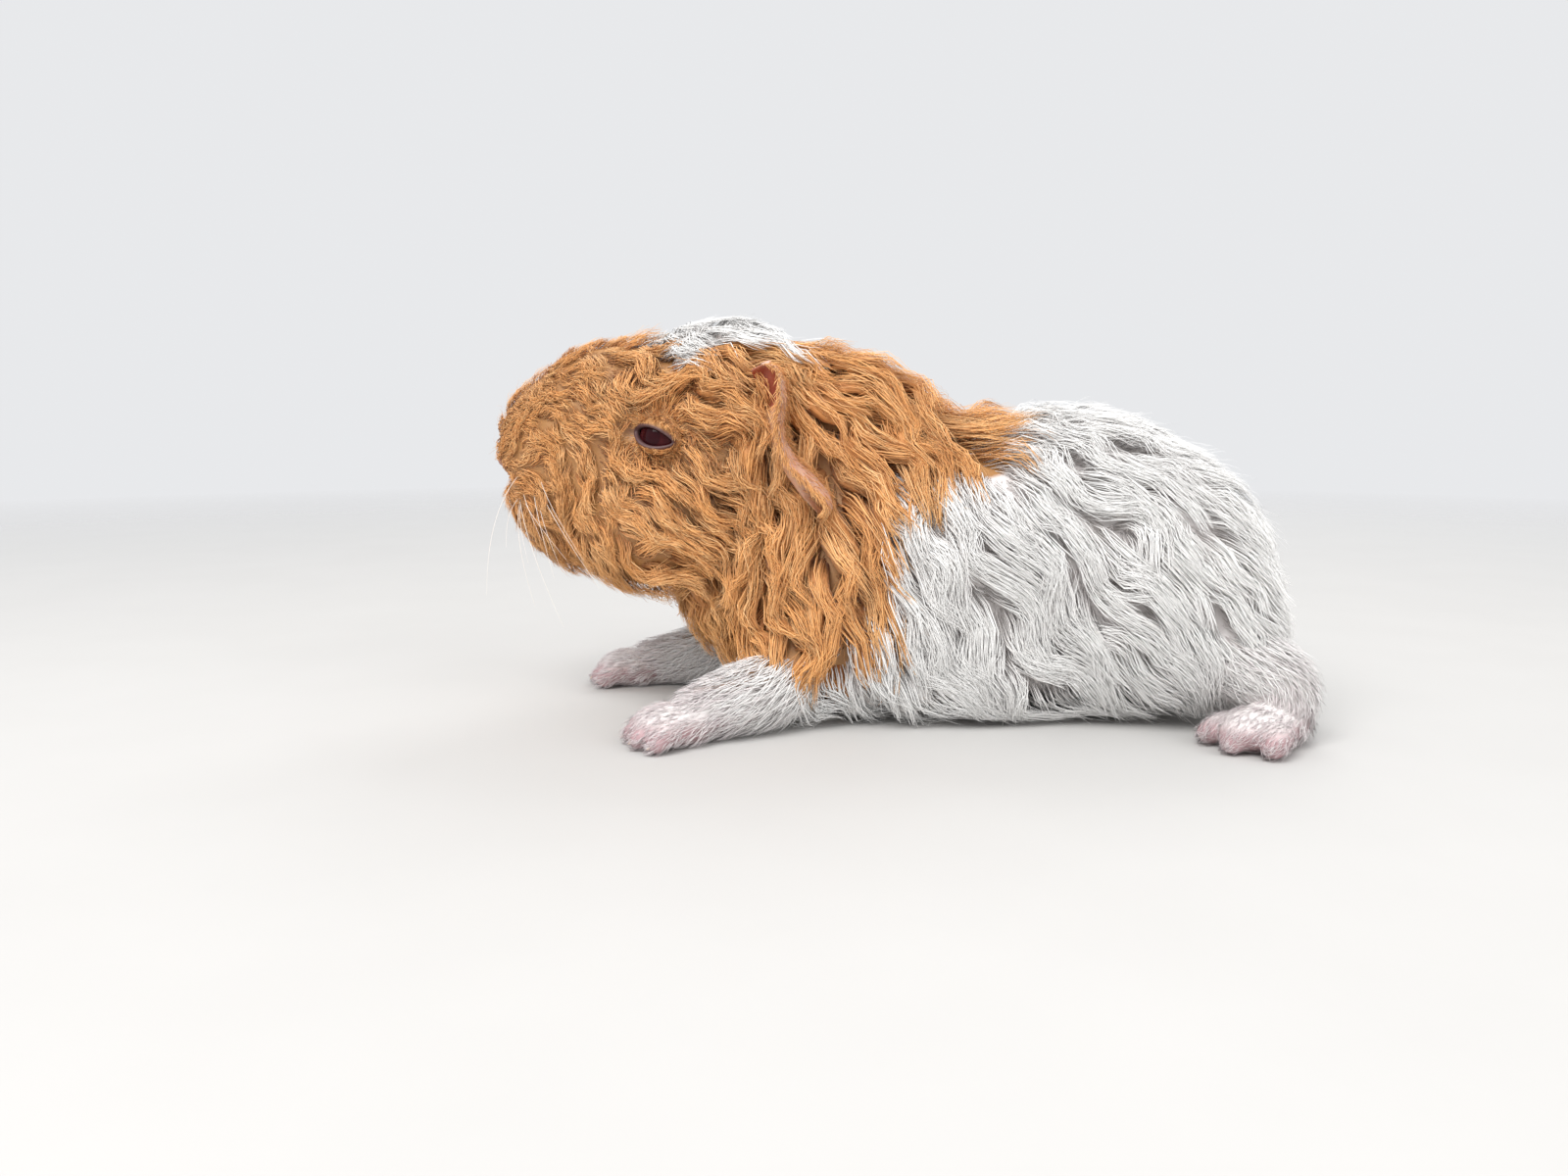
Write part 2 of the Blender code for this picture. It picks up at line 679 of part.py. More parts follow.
def strip_cutter(name, heights, angles, widen, depth, width):
    """A groove along a line on the face, which tapers inwards. widen is the way across the groove."""
    count = len(heights)
    origins = np.column_stack([np.full(count, FACE_MIDDLE), np.zeros(count), heights])
    ways = np.column_stack([-np.cos(angles), np.sin(angles), np.zeros(count)])
    surface = cast(origins, ways, outside_of_core)
    inwards = -normals_at(surface, outside_of_coat)
    points = []
    for place, inward in zip(surface, inwards):
        for along, beside in ((-1.0, -1), (-1.0, 1), (depth, GROOVE_TAPER), (depth, -GROOVE_TAPER)):
            points.append(place + inward * along + np.array(widen) * beside * width / 2)
    faces = [(0, 1, 2, 3), tuple(4 * (count - 1) + k for k in (3, 2, 1, 0))]
    for i in range(count - 1):
        for k in range(4):
            a, b = 4 * i + k, 4 * i + (k + 1) % 4
            faces.append((a, a + 4, b + 4, b))
    return mesh_object(name, points, faces)


def mouth_cutter():
    """The line between the lips, from one corner of the mouth round the front to the other."""
    shares = np.linspace(-1, 1, 11)
    heights = MOUTH_HEIGHT - MOUTH_DROP * np.abs(shares) ** MOUTH_CURVE
    angles = np.radians(MOUTH_SPREAD) * shares
    return strip_cutter("mouth", heights, angles, (0, 0, 1), MOUTH_DEPTH, MOUTH_WIDTH)


def philtrum_cutter():
    """The groove from between the nostrils down to the mouth."""
    heights = np.linspace(NOSTRIL_AT[2] - 1.0, MOUTH_HEIGHT - 0.2, 6)
    return strip_cutter("philtrum", heights, np.zeros(6), (0, 1, 0), PHILTRUM_DEPTH, PHILTRUM_WIDTH)


def nostril_cutter(side):
    x, y, z = NOSTRIL_AT
    turn = side * math.radians(-NOSTRIL_TURN)
    return ball("nostril", (x, side * y, z), NOSTRIL_RADII, turn=turn, segments=8, rings=5)


def lid_ball(name, side, radius):
    return ball(name, eye_centre(side), [radius] * 3, segments=14, rings=9)


def finish_head(head):
    """Lids, the openings between them, the eyes' sockets, nostrils and the line of the mouth."""
    sides = SIDES.values()
    combine(head, [lid_ball("lid", side, EYE_RADIUS + GAP + LID_THICKNESS) for side in sides], "UNION")
    cuts = [fissure_cutter(side) for side in sides]
    cuts += [lid_ball("socket", side, EYE_RADIUS + GAP) for side in sides]
    cuts += [mouth_cutter(), philtrum_cutter(), *[nostril_cutter(side) for side in sides]]
    for cut in cuts:
        combine(head, [cut], "DIFFERENCE")


# The coat's locks


def coat_lie(points, normals):
    """The way that the coat lies: back along the body, down its sides and away from its parting."""
    sideways = np.abs(normals[:, 1])
    back, flank = (np.interp(points[:, 0], LIE_AT, lie) for lie in (LIE_ON_BACK, LIE_ON_SIDE))
    fall = np.radians(back + (flank - back) * sideways)
    parting = LIE_PARTING * np.tanh(points[:, 1] / 3) * np.maximum(normals[:, 2], 0)
    way = np.column_stack([np.cos(fall), parting, -np.sin(fall)])
    way -= normals * np.sum(way * normals, axis=1)[:, None]
    return way / np.linalg.norm(way, axis=1)[:, None]


def onto_level(points, level):
    """Points moved along the coat's slope to where the outline is the given distance away."""
    for _ in range(2):
        normals = normals_at(points, outside_of_coat)
        points = points + normals * (level - outside_of_coat(points))[:, None]
    return points, normals_at(points, outside_of_coat)


def evenly_round(origins, directions, spacing, shift):
    """Places at an even spacing round a ring of the core, above the belly."""
    ring = cast(origins, directions, outside_of_core)
    steps = np.linalg.norm(np.roll(ring, -1, axis=0) - ring, axis=1)
    along = np.concatenate([[0], np.cumsum(steps)])
    closed = np.vstack([ring, ring[:1]])
    count = max(int(round(along[-1] / spacing)), 3)
    wanted = (np.arange(count) + shift) / count * along[-1]
    places = np.column_stack([np.interp(wanted, along, closed[:, k]) for k in range(3)])
    return places[places[:, 2] > LOCK_LOWEST_ROOT]


def lock_roots(draw):
    """Places on the core where locks grow, in staggered rows from the brow to the rump."""
    nose, rump, _, _, _ = spine_axes()
    first = (LOCK_FIRST_ROW - nose[0]) / (rump[0] - nose[0])
    step = LOCK_ROW_STEP / (rump[0] - nose[0])
    rows = [(place, 0.0) for place in np.arange(first, 1.0, step)]
    rows += [(1.0, -math.radians(90 - lean)) for lean in LOCK_RUMP_LEANS]
    places = []
    for k, (place, lean) in enumerate(rows):
        at = nose[0] + place * (rump[0] - nose[0])
        spacing = LOCK_SPACING * np.interp(at, LOCK_CLOSER_AT, LOCK_CLOSER)
        places.append(evenly_round(*spine_ring(place, lean, LOCK_ROW_RAYS), spacing, 0.5 * (k % 2) + 0.25))
    roots = np.vstack(places)
    return roots + draw.uniform(-LOCK_SCATTER, LOCK_SCATTER, roots.shape)


def clearance(points, obstacles):
    """How far points are from the nearest obstacle, each a centre with a radius."""
    centres = obstacles[:, :3]
    apart = np.linalg.norm(points[:, None, :] - centres[None, :, :], axis=2)
    return (apart - obstacles[:, 3][None, :]).min(axis=1)


def lock_obstacles():
    """What the locks stay clear of: legs, ears and eyes, as balls."""
    found = [(*eye_centre(side), EYE_RADIUS + LOCK_OFF_EYES) for side in SIDES.values()]
    for joints, _, _, side in LIMBS.values():
        path, radii = smooth_path(on_side(joints, side), steps=5)
        found += [(*place, radius) for place, radius in zip(path, radii)]
    for side in SIDES.values():
        for a in np.linspace(0, 1, 12):
            found += [(*ear_point(a, b, side, 0), LOCK_OFF_EARS) for b in (0, 0.3, 0.6, 1)]
    return np.array(found)


def march(roots, lengths, shares):
    """Points along each lock's lie at shares of its length, rising from the core to the coat's outline."""
    thickness = np.interp(roots[:, 0], LOCK_AT, LOCK_THICKNESS)
    low = -core_depth(roots) - LOCK_SUNK
    high = -thickness / 2 - 0.1
    at, normal = onto_level(roots, low)
    path, normals = [at], [normal]
    for before, share in zip(shares, shares[1:]):
        rise = min(share / 0.5, 1.0)
        level = low + (high - low) * (rise * rise * (3 - 2 * rise))
        lifted = max(share - LOCK_TIP_FREE, 0) / (1 - LOCK_TIP_FREE)
        level += (LOCK_TIP_LEVEL - level) * lifted
        step = (share - before) * lengths
        ahead = at + coat_lie(at, normal) * step[:, None]
        at, normal = onto_level(ahead, level)
        path.append(at)
        normals.append(normal)
    return np.array(path), np.array(normals)


def clear_lengths(roots, lengths):
    """Lengths that keep locks off legs, ears and eyes, and stop a tip that alone would cross a thin cut."""
    shares = np.linspace(0, 1, 17)
    path, _ = march(roots, lengths, shares)
    widths = np.interp(roots[:, 0], LOCK_AT, LOCK_WIDTH)
    obstacles = lock_obstacles()
    free, crossed = np.ones(len(roots)), np.ones(len(roots))
    for share, points in zip(shares[::-1], path[::-1]):
        free = np.where(clearance(points, obstacles) < LOCK_CLEARANCE + widths * 0.25, share, free)
        for cut in (HEAD_CUT, TORSO_CUT):
            place, normal = cut_plane(cut)
            own_side = np.sign((roots - place) @ normal)
            crossed = np.where((points - place) @ normal * own_side < LOCK_CLEARANCE, share, crossed)
    tip_crosses = (crossed < 1) & (crossed > LOCK_CROSSING)
    free = np.minimum(free, np.where(tip_crosses, crossed, 1))
    return lengths * np.where(free < 1, free - shares[1], 1.0)


def lock_mesh(name, path, normals, width, thickness):
    """One lock: a flat four-sided section carried along its path, and a pointed tip."""
    along = np.gradient(path, axis=0)
    along /= np.linalg.norm(along, axis=1)[:, None]
    points = []
    for k, taper in enumerate(LOCK_TAPER):
        across = np.cross(normals[k], along[k])
        across /= np.linalg.norm(across)
        lift = np.cross(along[k], across)
        wide, thick = width * taper / 2, thickness * (0.5 + 0.5 * taper) / 2
        for offset in (-across * wide, lift * thick, across * wide, -lift * thick):
            points.append(path[k] + offset)
    points.append(path[-1])
    count = len(LOCK_TAPER)
    faces = [(3, 2, 1, 0)]
    for k in range(count - 1):
        for side in range(4):
            a, b = 4 * k + side, 4 * k + (side + 1) % 4
            faces.append((a, b, b + 4, a + 4))
    last = 4 * (count - 1)
    faces += [(last + side, last + (side + 1) % 4, last + 4) for side in range(4)]
    return mesh_object(name, points, faces)


def build_locks():
    """The locks of the whole coat, as closed meshes whose roots are sunk in the core."""
    draw = np.random.default_rng(LOCK_SEED)
    roots = lock_roots(draw)
    wanted = np.interp(roots[:, 0], LOCK_AT, LOCK_LENGTH) * draw.uniform(*LOCK_LENGTH_RANGE, len(roots))
    lengths = clear_lengths(roots, wanted)
    kept = lengths > LOCK_SHORTEST * wanted
    roots, lengths, wanted = roots[kept], lengths[kept], wanted[kept]
    shares = np.array((*LOCK_STATIONS, 1.0))
    path, normals = march(roots, lengths, shares)
    widths = np.interp(roots[:, 0], LOCK_AT, LOCK_WIDTH) * draw.uniform(*LOCK_WIDTH_RANGE, len(roots))
    thicknesses = np.interp(roots[:, 0], LOCK_AT, LOCK_THICKNESS)
    phases = draw.uniform(0, 2 * math.pi, len(roots))
    locks = []
    for k in range(len(roots)):
        lie = coat_lie(path[:, k], normals[:, k])
        across = np.cross(normals[:, k], lie)
        sway = LOCK_WAVE * np.sin(2 * math.pi * shares + phases[k]) * np.minimum(shares * 3, 1)
        bent = path[:, k] + across * sway[:, None]
        locks.append(lock_mesh("lock", bent, normals[:, k], widths[k], thicknesses[k]))
    return locks


def main():
    clear_scene()
    whole = build_core("whole")
    combine(whole, build_locks(), "UNION")
    rooms = []
    for name, limb in LIMBS.items():
        rooms += build_limb(name, *limb)
    for word, side in SIDES.items():
        shade(build_ear("ear_" + word, side))
        rooms.append(build_ear("ear_room", side, grow=GAP))
        shade(ball("eye_" + word, eye_centre(side), [EYE_RADIUS] * 3, "eye"))
    for room in rooms:
        combine(whole, [room], "DIFFERENCE")
    head, neck, torso = (copy_of(whole, name) for name in ("head", "neck", "torso"))
    bpy.data.objects.remove(whole)
    combine(head, [cut_box(HEAD_CUT, 1)], "DIFFERENCE")
    combine(neck, [cut_box(HEAD_CUT, -1)], "DIFFERENCE")
    combine(neck, [cut_box(TORSO_CUT, 1)], "DIFFERENCE")
    combine(torso, [cut_box(TORSO_CUT, -1)], "DIFFERENCE")
    finish_head(head)
    for piece, finish in ((head, "gold_coat"), (neck, "gold_coat"), (torso, "white_coat")):
        piece.data.materials.clear()
        piece.data.materials.append(material(finish))
        shade(piece)


if __name__ == "__main__":
    main()
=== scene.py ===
import json
import math

import bmesh
import bpy
import numpy as np
from bpy.props import FloatProperty, FloatVectorProperty, IntProperty, PointerProperty
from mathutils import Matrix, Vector, kdtree

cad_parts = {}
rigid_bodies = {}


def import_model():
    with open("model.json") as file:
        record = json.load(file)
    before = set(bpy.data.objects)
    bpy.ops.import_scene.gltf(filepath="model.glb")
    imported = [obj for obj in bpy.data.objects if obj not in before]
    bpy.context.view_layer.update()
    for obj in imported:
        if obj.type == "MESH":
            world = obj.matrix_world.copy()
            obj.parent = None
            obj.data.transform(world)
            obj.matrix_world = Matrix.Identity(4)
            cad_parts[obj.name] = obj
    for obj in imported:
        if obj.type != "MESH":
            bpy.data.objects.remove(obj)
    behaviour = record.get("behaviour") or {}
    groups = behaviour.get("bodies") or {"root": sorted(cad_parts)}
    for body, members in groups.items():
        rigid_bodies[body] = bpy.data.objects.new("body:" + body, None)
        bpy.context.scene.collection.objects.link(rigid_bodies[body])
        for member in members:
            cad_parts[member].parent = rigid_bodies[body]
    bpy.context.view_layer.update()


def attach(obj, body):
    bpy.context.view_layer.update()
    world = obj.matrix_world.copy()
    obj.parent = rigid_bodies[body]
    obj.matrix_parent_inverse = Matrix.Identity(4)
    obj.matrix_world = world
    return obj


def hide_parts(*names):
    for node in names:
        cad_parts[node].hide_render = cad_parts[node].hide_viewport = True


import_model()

bl_info = {
    "name": "Merino guinea pig pup",
    "version": (1, 0, 0),
    "blender": (4, 5, 0),
    "location": "View3D > Sidebar > Guinea pig",
    "description": "Skin, ears, eyes, claws, whiskers and a wavy coat for a guinea pig pup",
    "category": "Object",
}

BODY = "root"

# Places and shapes are in millimetres, and MM turns them into metres when a mesh is made.
MM = 0.001
SHIFT = np.array((0.85, 0.0, 0.0))

# Masses of the body with its coat: centre, radii, pitch in degrees, and whether each side has one.
MASSES = {
    "nose": ((-58.6, 0, 45.4), (7.3, 6.2, 8.8), 0, False),
    "muzzle": ((-50.6, 0, 39.6), (14.8, 10.0, 16.8), 0, False),
    "brow": ((-44, 0, 49), (17.0, 13.2, 14.3), 0, False),
    "skull": ((-27, 0, 46.5), (20.0, 18.0, 20.0), 0, False),
    "jowl": ((-38, 8.5, 32.5), (14.5, 10.5, 12.5), 0, True),
    "neck": ((-8, 0, 41.5), (22.0, 19.0, 20.5), 20, False),
    "chest": ((-16, 0, 22), (16.0, 20.0, 20.0), 0, False),
    "shoulder": ((-6, 9.5, 21), (18.0, 15.5, 21.0), 0, True),
    "ribs": ((12, 0, 28), (30.0, 24.0, 23.0), 0, False),
    "belly": ((14, 0, 10), (36.0, 22.0, 18.0), 0, False),
    "loin": ((32, 0, 29), (26.0, 23.5, 23.0), 0, False),
    "haunch": ((43, 11, 22), (20.5, 15.5, 22.5), 0, True),
    "elbow_left": ((-15.5, -15, 10), (8.5, 7.5, 9.5), 0, False),
    "elbow_right": ((-18, 11.5, 11), (8.5, 7.0, 9.5), 0, False),
    "thigh": ((53.0, 17.5, 15.5), (10.0, 8.5, 12.0), 0, True),
    "throat": ((-24, 0, 20.5), (12.5, 12.0, 10.5), 0, False),
}
BLEND = 2.2
HEM_HEIGHT = 0.8
HEM_BLEND = 1.0

# How far the skin lies inside the outline of the coat, at stations along the body.
SKIN_AT = (-66, -52, -42, -25, 0, 45, 62)
SKIN_DEPTH = (0.7, 1.1, 2.0, 3.4, 4.0, 4.0, 3.4)

SPINE_NOSE = np.array((-46.0, 0.0, 42.0))
SPINE_RUMP = np.array((40.0, 0.0, 24.0))
NOSE_RINGS = 16
TRUNK_RINGS = 34
RUMP_RINGS = 12
RING_SIDES = 72

# The lie of the coat: how steeply it falls on the back and on the side, in degrees, and how far it parts
# along the back.
LIE_AT = (-60, -45, -30, -10, 8, 25, 45, 60)
LIE_ON_BACK = (5, 5, 10, 20, 15, 10, 20, 40)
LIE_ON_SIDE = (20, 35, 58, 76, 66, 52, 52, 70)
LIE_PARTING = 0.45

# The coat at stations along the body: its length, the width of its locks, the length and swing of waves.
COAT_AT = (-66, -55, -45, -32, -18, -5, 12, 30, 48, 62)
COAT_LENGTH = (4.0, 5.6, 7.5, 9.5, 14.0, 16.5, 14.5, 13.0, 11.5, 9.0)
CLUMP_RADIUS = (1.0, 1.4, 1.7, 2.1, 2.6, 2.9, 2.8, 2.7, 2.5, 2.2)
WAVE_LENGTH = (5.0, 6.0, 7.0, 9.0, 10.5, 13.0, 15.0, 15.0, 12.0, 9.0)
WAVE_SWING = (0.5, 0.6, 0.65, 0.66, 0.72, 0.6, 0.36, 0.3, 0.3, 0.32)
SWIRL = (0.55, 0.55, 0.5, 0.4, 0.3, 0.32, 0.32, 0.32, 0.32, 0.32)
GATHER = (0.4, 0.55, 0.7, 0.9, 1.05, 0.95, 0.6, 0.45, 0.4, 0.4)
LUMPS = (0.3, 0.4, 0.5, 0.6, 0.7, 0.7, 0.7, 0.7, 0.6, 0.5)
UNDER_LEVEL = (0.3, 0.3, 0.3, 0.34, 0.36, 0.38, 0.4, 0.42, 0.42, 0.42)
FRIZZ = (0.5, 0.55, 0.5, 0.4, 0.35, 0.4, 0.5, 0.55, 0.55, 0.5)
LOFT = (0.8, 0.8, 0.7, 0.7, 0.7, 0.8, 1.0, 1.2, 1.4, 1.4)
TUFT_WIDTH = (0.13, 0.15, 0.17, 0.19, 0.21, 0.2, 0.175, 0.17, 0.17, 0.17)
TUFT_DENSITY = (6.2, 5.2, 4.8, 3.9, 2.6, 2.3, 2.5, 2.55, 2.6, 2.7)
BELLY_DENSITY = 0.3
COMMON_WAVE = 12.5

# How much calmer the white coat lies than the golden one, and how far its shading follows the body's.
WHITE_CALM = 0.82
WHITE_SOFT = 0.3

# Each lock follows a guide. Tufts, and the wide locks below them, have their points at shares of its path.
GUIDE_TRIES = 9000
GUIDE_STEPS = 17
GUIDE_LEVEL = -1.0
TUFT_STATIONS = np.array((0.0, 0.14, 0.28, 0.43, 0.58, 0.73, 0.88, 1.0))
UNDER_STATIONS = np.array((0.0, 0.12, 0.26, 0.4, 0.55, 0.7, 0.84, 0.95))
MARKING_STATION = 4

# A lock's shape: its share of stray tufts, how deep its lower tufts and its edges lie, and its swell.
STRAYS = 0.18
LAYER_DROP = 0.42
EDGE_DROP = 0.3
SWELL = 0.16
SWELL_PHASE = 1.6
LUMP = (8.0, 51)
LOCK_TINT = (6.0, 41)

# The stretch of the body that has wide locks, and the outlines across a wide lock and across a tuft.
UNDER_FROM = -36.0
UNDER_TO = 6.0
LOCK_SECTION = ((-1.0, 0.0), (-0.5, 0.75), (0.0, 1.0), (0.5, 0.75), (1.0, 0.0), (0.0, -0.4))
TUFT_SECTION = ((-1.0, 0.0), (1.0, 0.0), (0.0, 1.2))
SEEDS = {"coat": 5, "legs": 6, "ears": 8, "whiskers": 9, "lids": 12}

# Eyes and the opening between the lids.
EYE_AT = (-36.6, -11.6, 46.6)
FISSURE_LENGTH = 6.3
FISSURE_HEIGHT = 2.6
FISSURE_TILT = 14
EYE_AHEAD = 29
EYE_UP = 3
LID_INNER = 0.08
LID_THICKNESS = 0.75
LID_REACH = 1.25
LID_SIDES = 56
LID_SWELL = 0.22
LID_HAIRS = 3200
CORNEA = 0.22

# Near an eye the skin gives way to the eyeball, and the coat to the lids' own hairs: nearest and farthest
# distance from its centre, and the opening's rim with its margin.
EYE_BARE = 4.2
EYE_NEAR = 9
OPENING_EDGE = 1.35

# Ears, as a sheet between its root on the head and its rim: a share of the way down, then a place, for the
# right one.
EAR_ROOT = np.array((
    (0.0, -22.6, 16.5, 57.4), (0.2, -21.4, 15.5, 52.5), (0.4, -20.2, 15.8, 48.0), (0.55, -19.2, 16.6, 45.0),
    (0.7, -17.2, 18.6, 41.2), (0.85, -14.8, 21.2, 37.8), (1.0, -12.2, 23.4, 35.2),
))
EAR_RIM = np.array((
    (0.0, -21.0, 18.6, 58.2), (0.1, -18.8, 20.5, 57.7), (0.2, -17.4, 22.0, 55.9), (0.32, -17.0, 23.5, 52.6),
    (0.45, -17.4, 24.5, 49.2), (0.55, -17.1, 25.0, 46.3), (0.67, -15.6, 25.3, 43.0),
    (0.78, -13.1, 25.3, 40.5), (0.88, -10.7, 25.0, 37.8), (0.96, -10.1, 24.5, 35.8),
    (1.0, -11.2, 24.0, 34.8),
))
EAR_CUP = 2.2
EAR_CURL = 1.3
EAR_HOLLOW = 2.4
EAR_THICKNESS = 0.7
EAR_STEPS = 60
EAR_COLUMNS = 18
EAR_DOWN = 1900
EAR_DOWN_ON_RIM = 0.28

# Nose and mouth.
NOSTRIL_AT = np.array((-65.2, 2.3, 42.0))
NOSE_PAD = np.array((-65.6, 0.0, 41.2))
NOSE_NOTCH = np.array((-65.0, 0.0, 39.6))
NOTCH_DEPTH = 2.0
NOTCH_SIZE = np.array((3.0, 4.5, 1.7))
NOSE_BARE = np.array((4.0, 3.0, 2.4))
FACE_MIDDLE = -52.0
MOUTH_HEIGHT = 33.0
MOUTH_DROP = 3.2
MOUTH_SPREAD = 58
MOUTH_DEPTH = 1.5
LIP_SWELL = 0.45
GROOVE_DEPTH = 1.0
PAD_SIZE = np.array((4.0, 3.6, 2.6))
PAD_SWELL = 0.5
NOSTRIL_DEPTH = 1.7
FACE_BACK = -40
FRONT_BACK = -56

# The skin's mesh.
SKIN_VOXEL = 0.58
SKIN_SMOOTHING = 4

# Legs, given as on the left side: joints from the root inside the body to the wrist or heel, with a radius.
FRONT_LEG_NEAR = (
    ((-12, -13, 13), 6.8), ((-18.5, -18, 7.6), 6.2), ((-25.5, -22.8, 5.5), 5.3), ((-31, -26, 4.2), 4.3),
)
FRONT_LEG_FAR = (
    ((-15, -10, 15), 6.8), ((-26, -13, 8.5), 6.0), ((-35.5, -15, 5.4), 5.0), ((-42.5, -15.5, 4.0), 4.1),
)
HIND_LEG = (((43, -13, 18), 8.0), ((52.5, -18.5, 13), 7.4), ((59, -24, 9.0), 5.9), ((59.5, -26.5, 4.6), 4.7))
FRONT_PAW = {"toes": 4, "toe_length": 6.0, "toe_radius": 1.95, "palm": (7.2, 5.5, 3.7), "fan": 48}
HIND_PAW = {"toes": 3, "toe_length": 7.2, "toe_radius": 2.25, "palm": (9.8, 5.3, 3.7), "fan": 40}
LEG_FUR = 0.7
PAW_FUR = 0.3
LIMBS = {
    "foreleg_left": (FRONT_LEG_NEAR, FRONT_PAW, 22, -1),
    "foreleg_right": (FRONT_LEG_FAR, FRONT_PAW, 2, 1),
    "hindleg_left": (HIND_LEG, HIND_PAW, 36, -1),
    "hindleg_right": (HIND_LEG, HIND_PAW, 36, 1),
}
SIDES = {"left": -1, "right": 1}

# Where gold gives way to white on the trunk: the edge's place along the body at heights above the floor.
EDGE_HEIGHT = (0, 3, 6, 10, 16, 22, 30, 36, 38, 40, 43, 48, 60)
EDGE_AT = (-14, -9, -4, -1, 0.5, 0, -0.5, 1, 8, 15, 20.5, 21, 20)
EDGE_WANDER = 1.6

# The coat pieces: name, the stretch of the body that each covers, its side where it has one, and the
# stations that its tufts keep.
COAT_REGIONS = [("coat_muzzle", -90, -46, 0, (0, 3, 5, 7))] + [
    (f"coat_{region}_{word}", start, end, side, stations)
    for region, start, end, stations in (
        ("head", -46, -24, (0, 2, 4, 6, 7)), ("neck", -24, -6, (0, 1, 2, 4, 6, 7)),
        ("flank", -6, 18, (0, 2, 4, 6, 7)), ("loin", 18, 40, (0, 2, 4, 6, 7)),
        ("rump", 40, 90, (0, 2, 4, 6, 7)),
    )
    for word, side in SIDES.items()
]
MOST_TRIANGLES = 195000
PATCH = 0.003

# The stage, in metres: where the floor starts and ends to fade, lights as place and size, and the camera.
FLOOR_FADE = (0.16, 0.75)
KEY_LIGHT = ((-0.28, -0.42, 0.62), 0.5)
FILL_LIGHT = ((0.45, -0.40, 0.30), 0.5)
BACK_LIGHT = ((0.20, 0.50, 0.55), 0.4)
LIGHTS_AIM = (0, 0, 0.03)
SKY_COLOUR = (0.95, 0.96, 0.98, 1)
CAMERA_AT = (-0.01655, -0.204, 0.049)
CAMERA_TILT = 82
CAMERA_LENS = 27


class CoatSizes(bpy.types.PropertyGroup):
    """Sizes of the coat."""

    tufts: IntProperty(name="Tufts", description="How many tufts cover the body", default=56000, min=100)
    leg_tufts: IntProperty(
        name="Leg tufts", description="How many short tufts cover legs and paws", default=15500, min=100
    )
    length: FloatProperty(
        name="Length", description="Length of the coat as a share of its own", default=1.0, min=0.3, max=1.5
    )
    wave: FloatProperty(
        name="Wave", description="Swing of the waves as a share of their own", default=1.0, min=0.0, max=2.0
    )
    width: FloatProperty(
        name="Tuft width", description="Width of the tufts as a share of their own", default=1.0,
        min=0.2, max=3.0,
    )
    gather: FloatProperty(
        name="Gather", description="How far tufts draw together into locks", default=0.6, min=0.0, max=1.0
    )
    loft: FloatProperty(
        name="Loft", description="How far the tips stand out of the outline", default=0.0009,
        unit="LENGTH", min=0.0, max=0.01,
    )


class FaceSizes(bpy.types.PropertyGroup):
    """Sizes of eyes and whiskers."""

    eye_radius: FloatProperty(
        name="Eye radius", description="Radius of the eyeball", default=0.0042, unit="LENGTH", min=0.001
    )
    whiskers: IntProperty(name="Whiskers", description="Whiskers on each side", default=11, min=0)
    whisker_length: FloatProperty(
        name="Whisker length", description="Length of the longest whisker", default=0.021,
        unit="LENGTH", min=0.001,
    )
    whisker_radius: FloatProperty(
        name="Whisker radius", description="Radius at a whisker's root", default=0.00004,
        unit="LENGTH", min=0.00001,
    )


def colour(name, description, default):
    return FloatVectorProperty(
        name=name, description=description, default=default, subtype="COLOR", size=3, min=0, max=1
    )


class Colours(bpy.types.PropertyGroup):
    """Colours of coat, skin, eyes and claws."""

    gold: colour("Gold", "Golden buff of head, neck and shoulders", (0.81, 0.395, 0.133))
    gold_tip: colour("Gold tips", "Paler tips of the golden coat", (0.93, 0.60, 0.29))
    # The gold and white shade colours are painted shade: the coat darkens towards its roots and where tufts
    # lie deep in it.
    gold_shade: colour("Gold roots", "Deep colour between the golden locks", (0.42, 0.15, 0.045))
    white: colour("White", "White of the body", (0.86, 0.85, 0.83))
    white_shade: colour("White roots", "Warm shade between the white locks", (0.87, 0.80, 0.77))
    paw: colour("Paw hair", "Mauve white of the hair on paws and toes", (0.58, 0.47, 0.485))
    pink: colour("Pink skin", "Skin of nose and paws", (0.42, 0.265, 0.275))
    rim: colour("Lid rim", "Brownish skin round the eye", (0.092, 0.043, 0.042))
    eye: colour("Eye", "Dark ruby of the eye", (0.040, 0.004, 0.006))
    claw: colour("Claw", "Pale horn of the claws", (0.72, 0.6, 0.52))


class StageSizes(bpy.types.PropertyGroup):
    """Sizes of the floor and strengths of the lights."""

    floor_size: FloatProperty(
        name="Floor", description="Side of the floor", default=20.0, unit="LENGTH", min=0.5
    )
    key_power: FloatProperty(
        name="Key light", description="Power of the large soft light", default=6.0, unit="POWER", min=0
    )
    fill_power: FloatProperty(
        name="Fill light", description="Power of the fill light and the back light", default=1.5,
        unit="POWER", min=0,
    )
    sky: FloatProperty(name="Sky", description="Strength of the light from all round", default=0.85, min=0)


def coat_sizes():
    return bpy.context.scene.pup_coat


def face_sizes():
    return bpy.context.scene.pup_face


def colours():
    return bpy.context.scene.pup_colours


def stage_sizes():
    return bpy.context.scene.pup_stage


# The coat's outline as a field


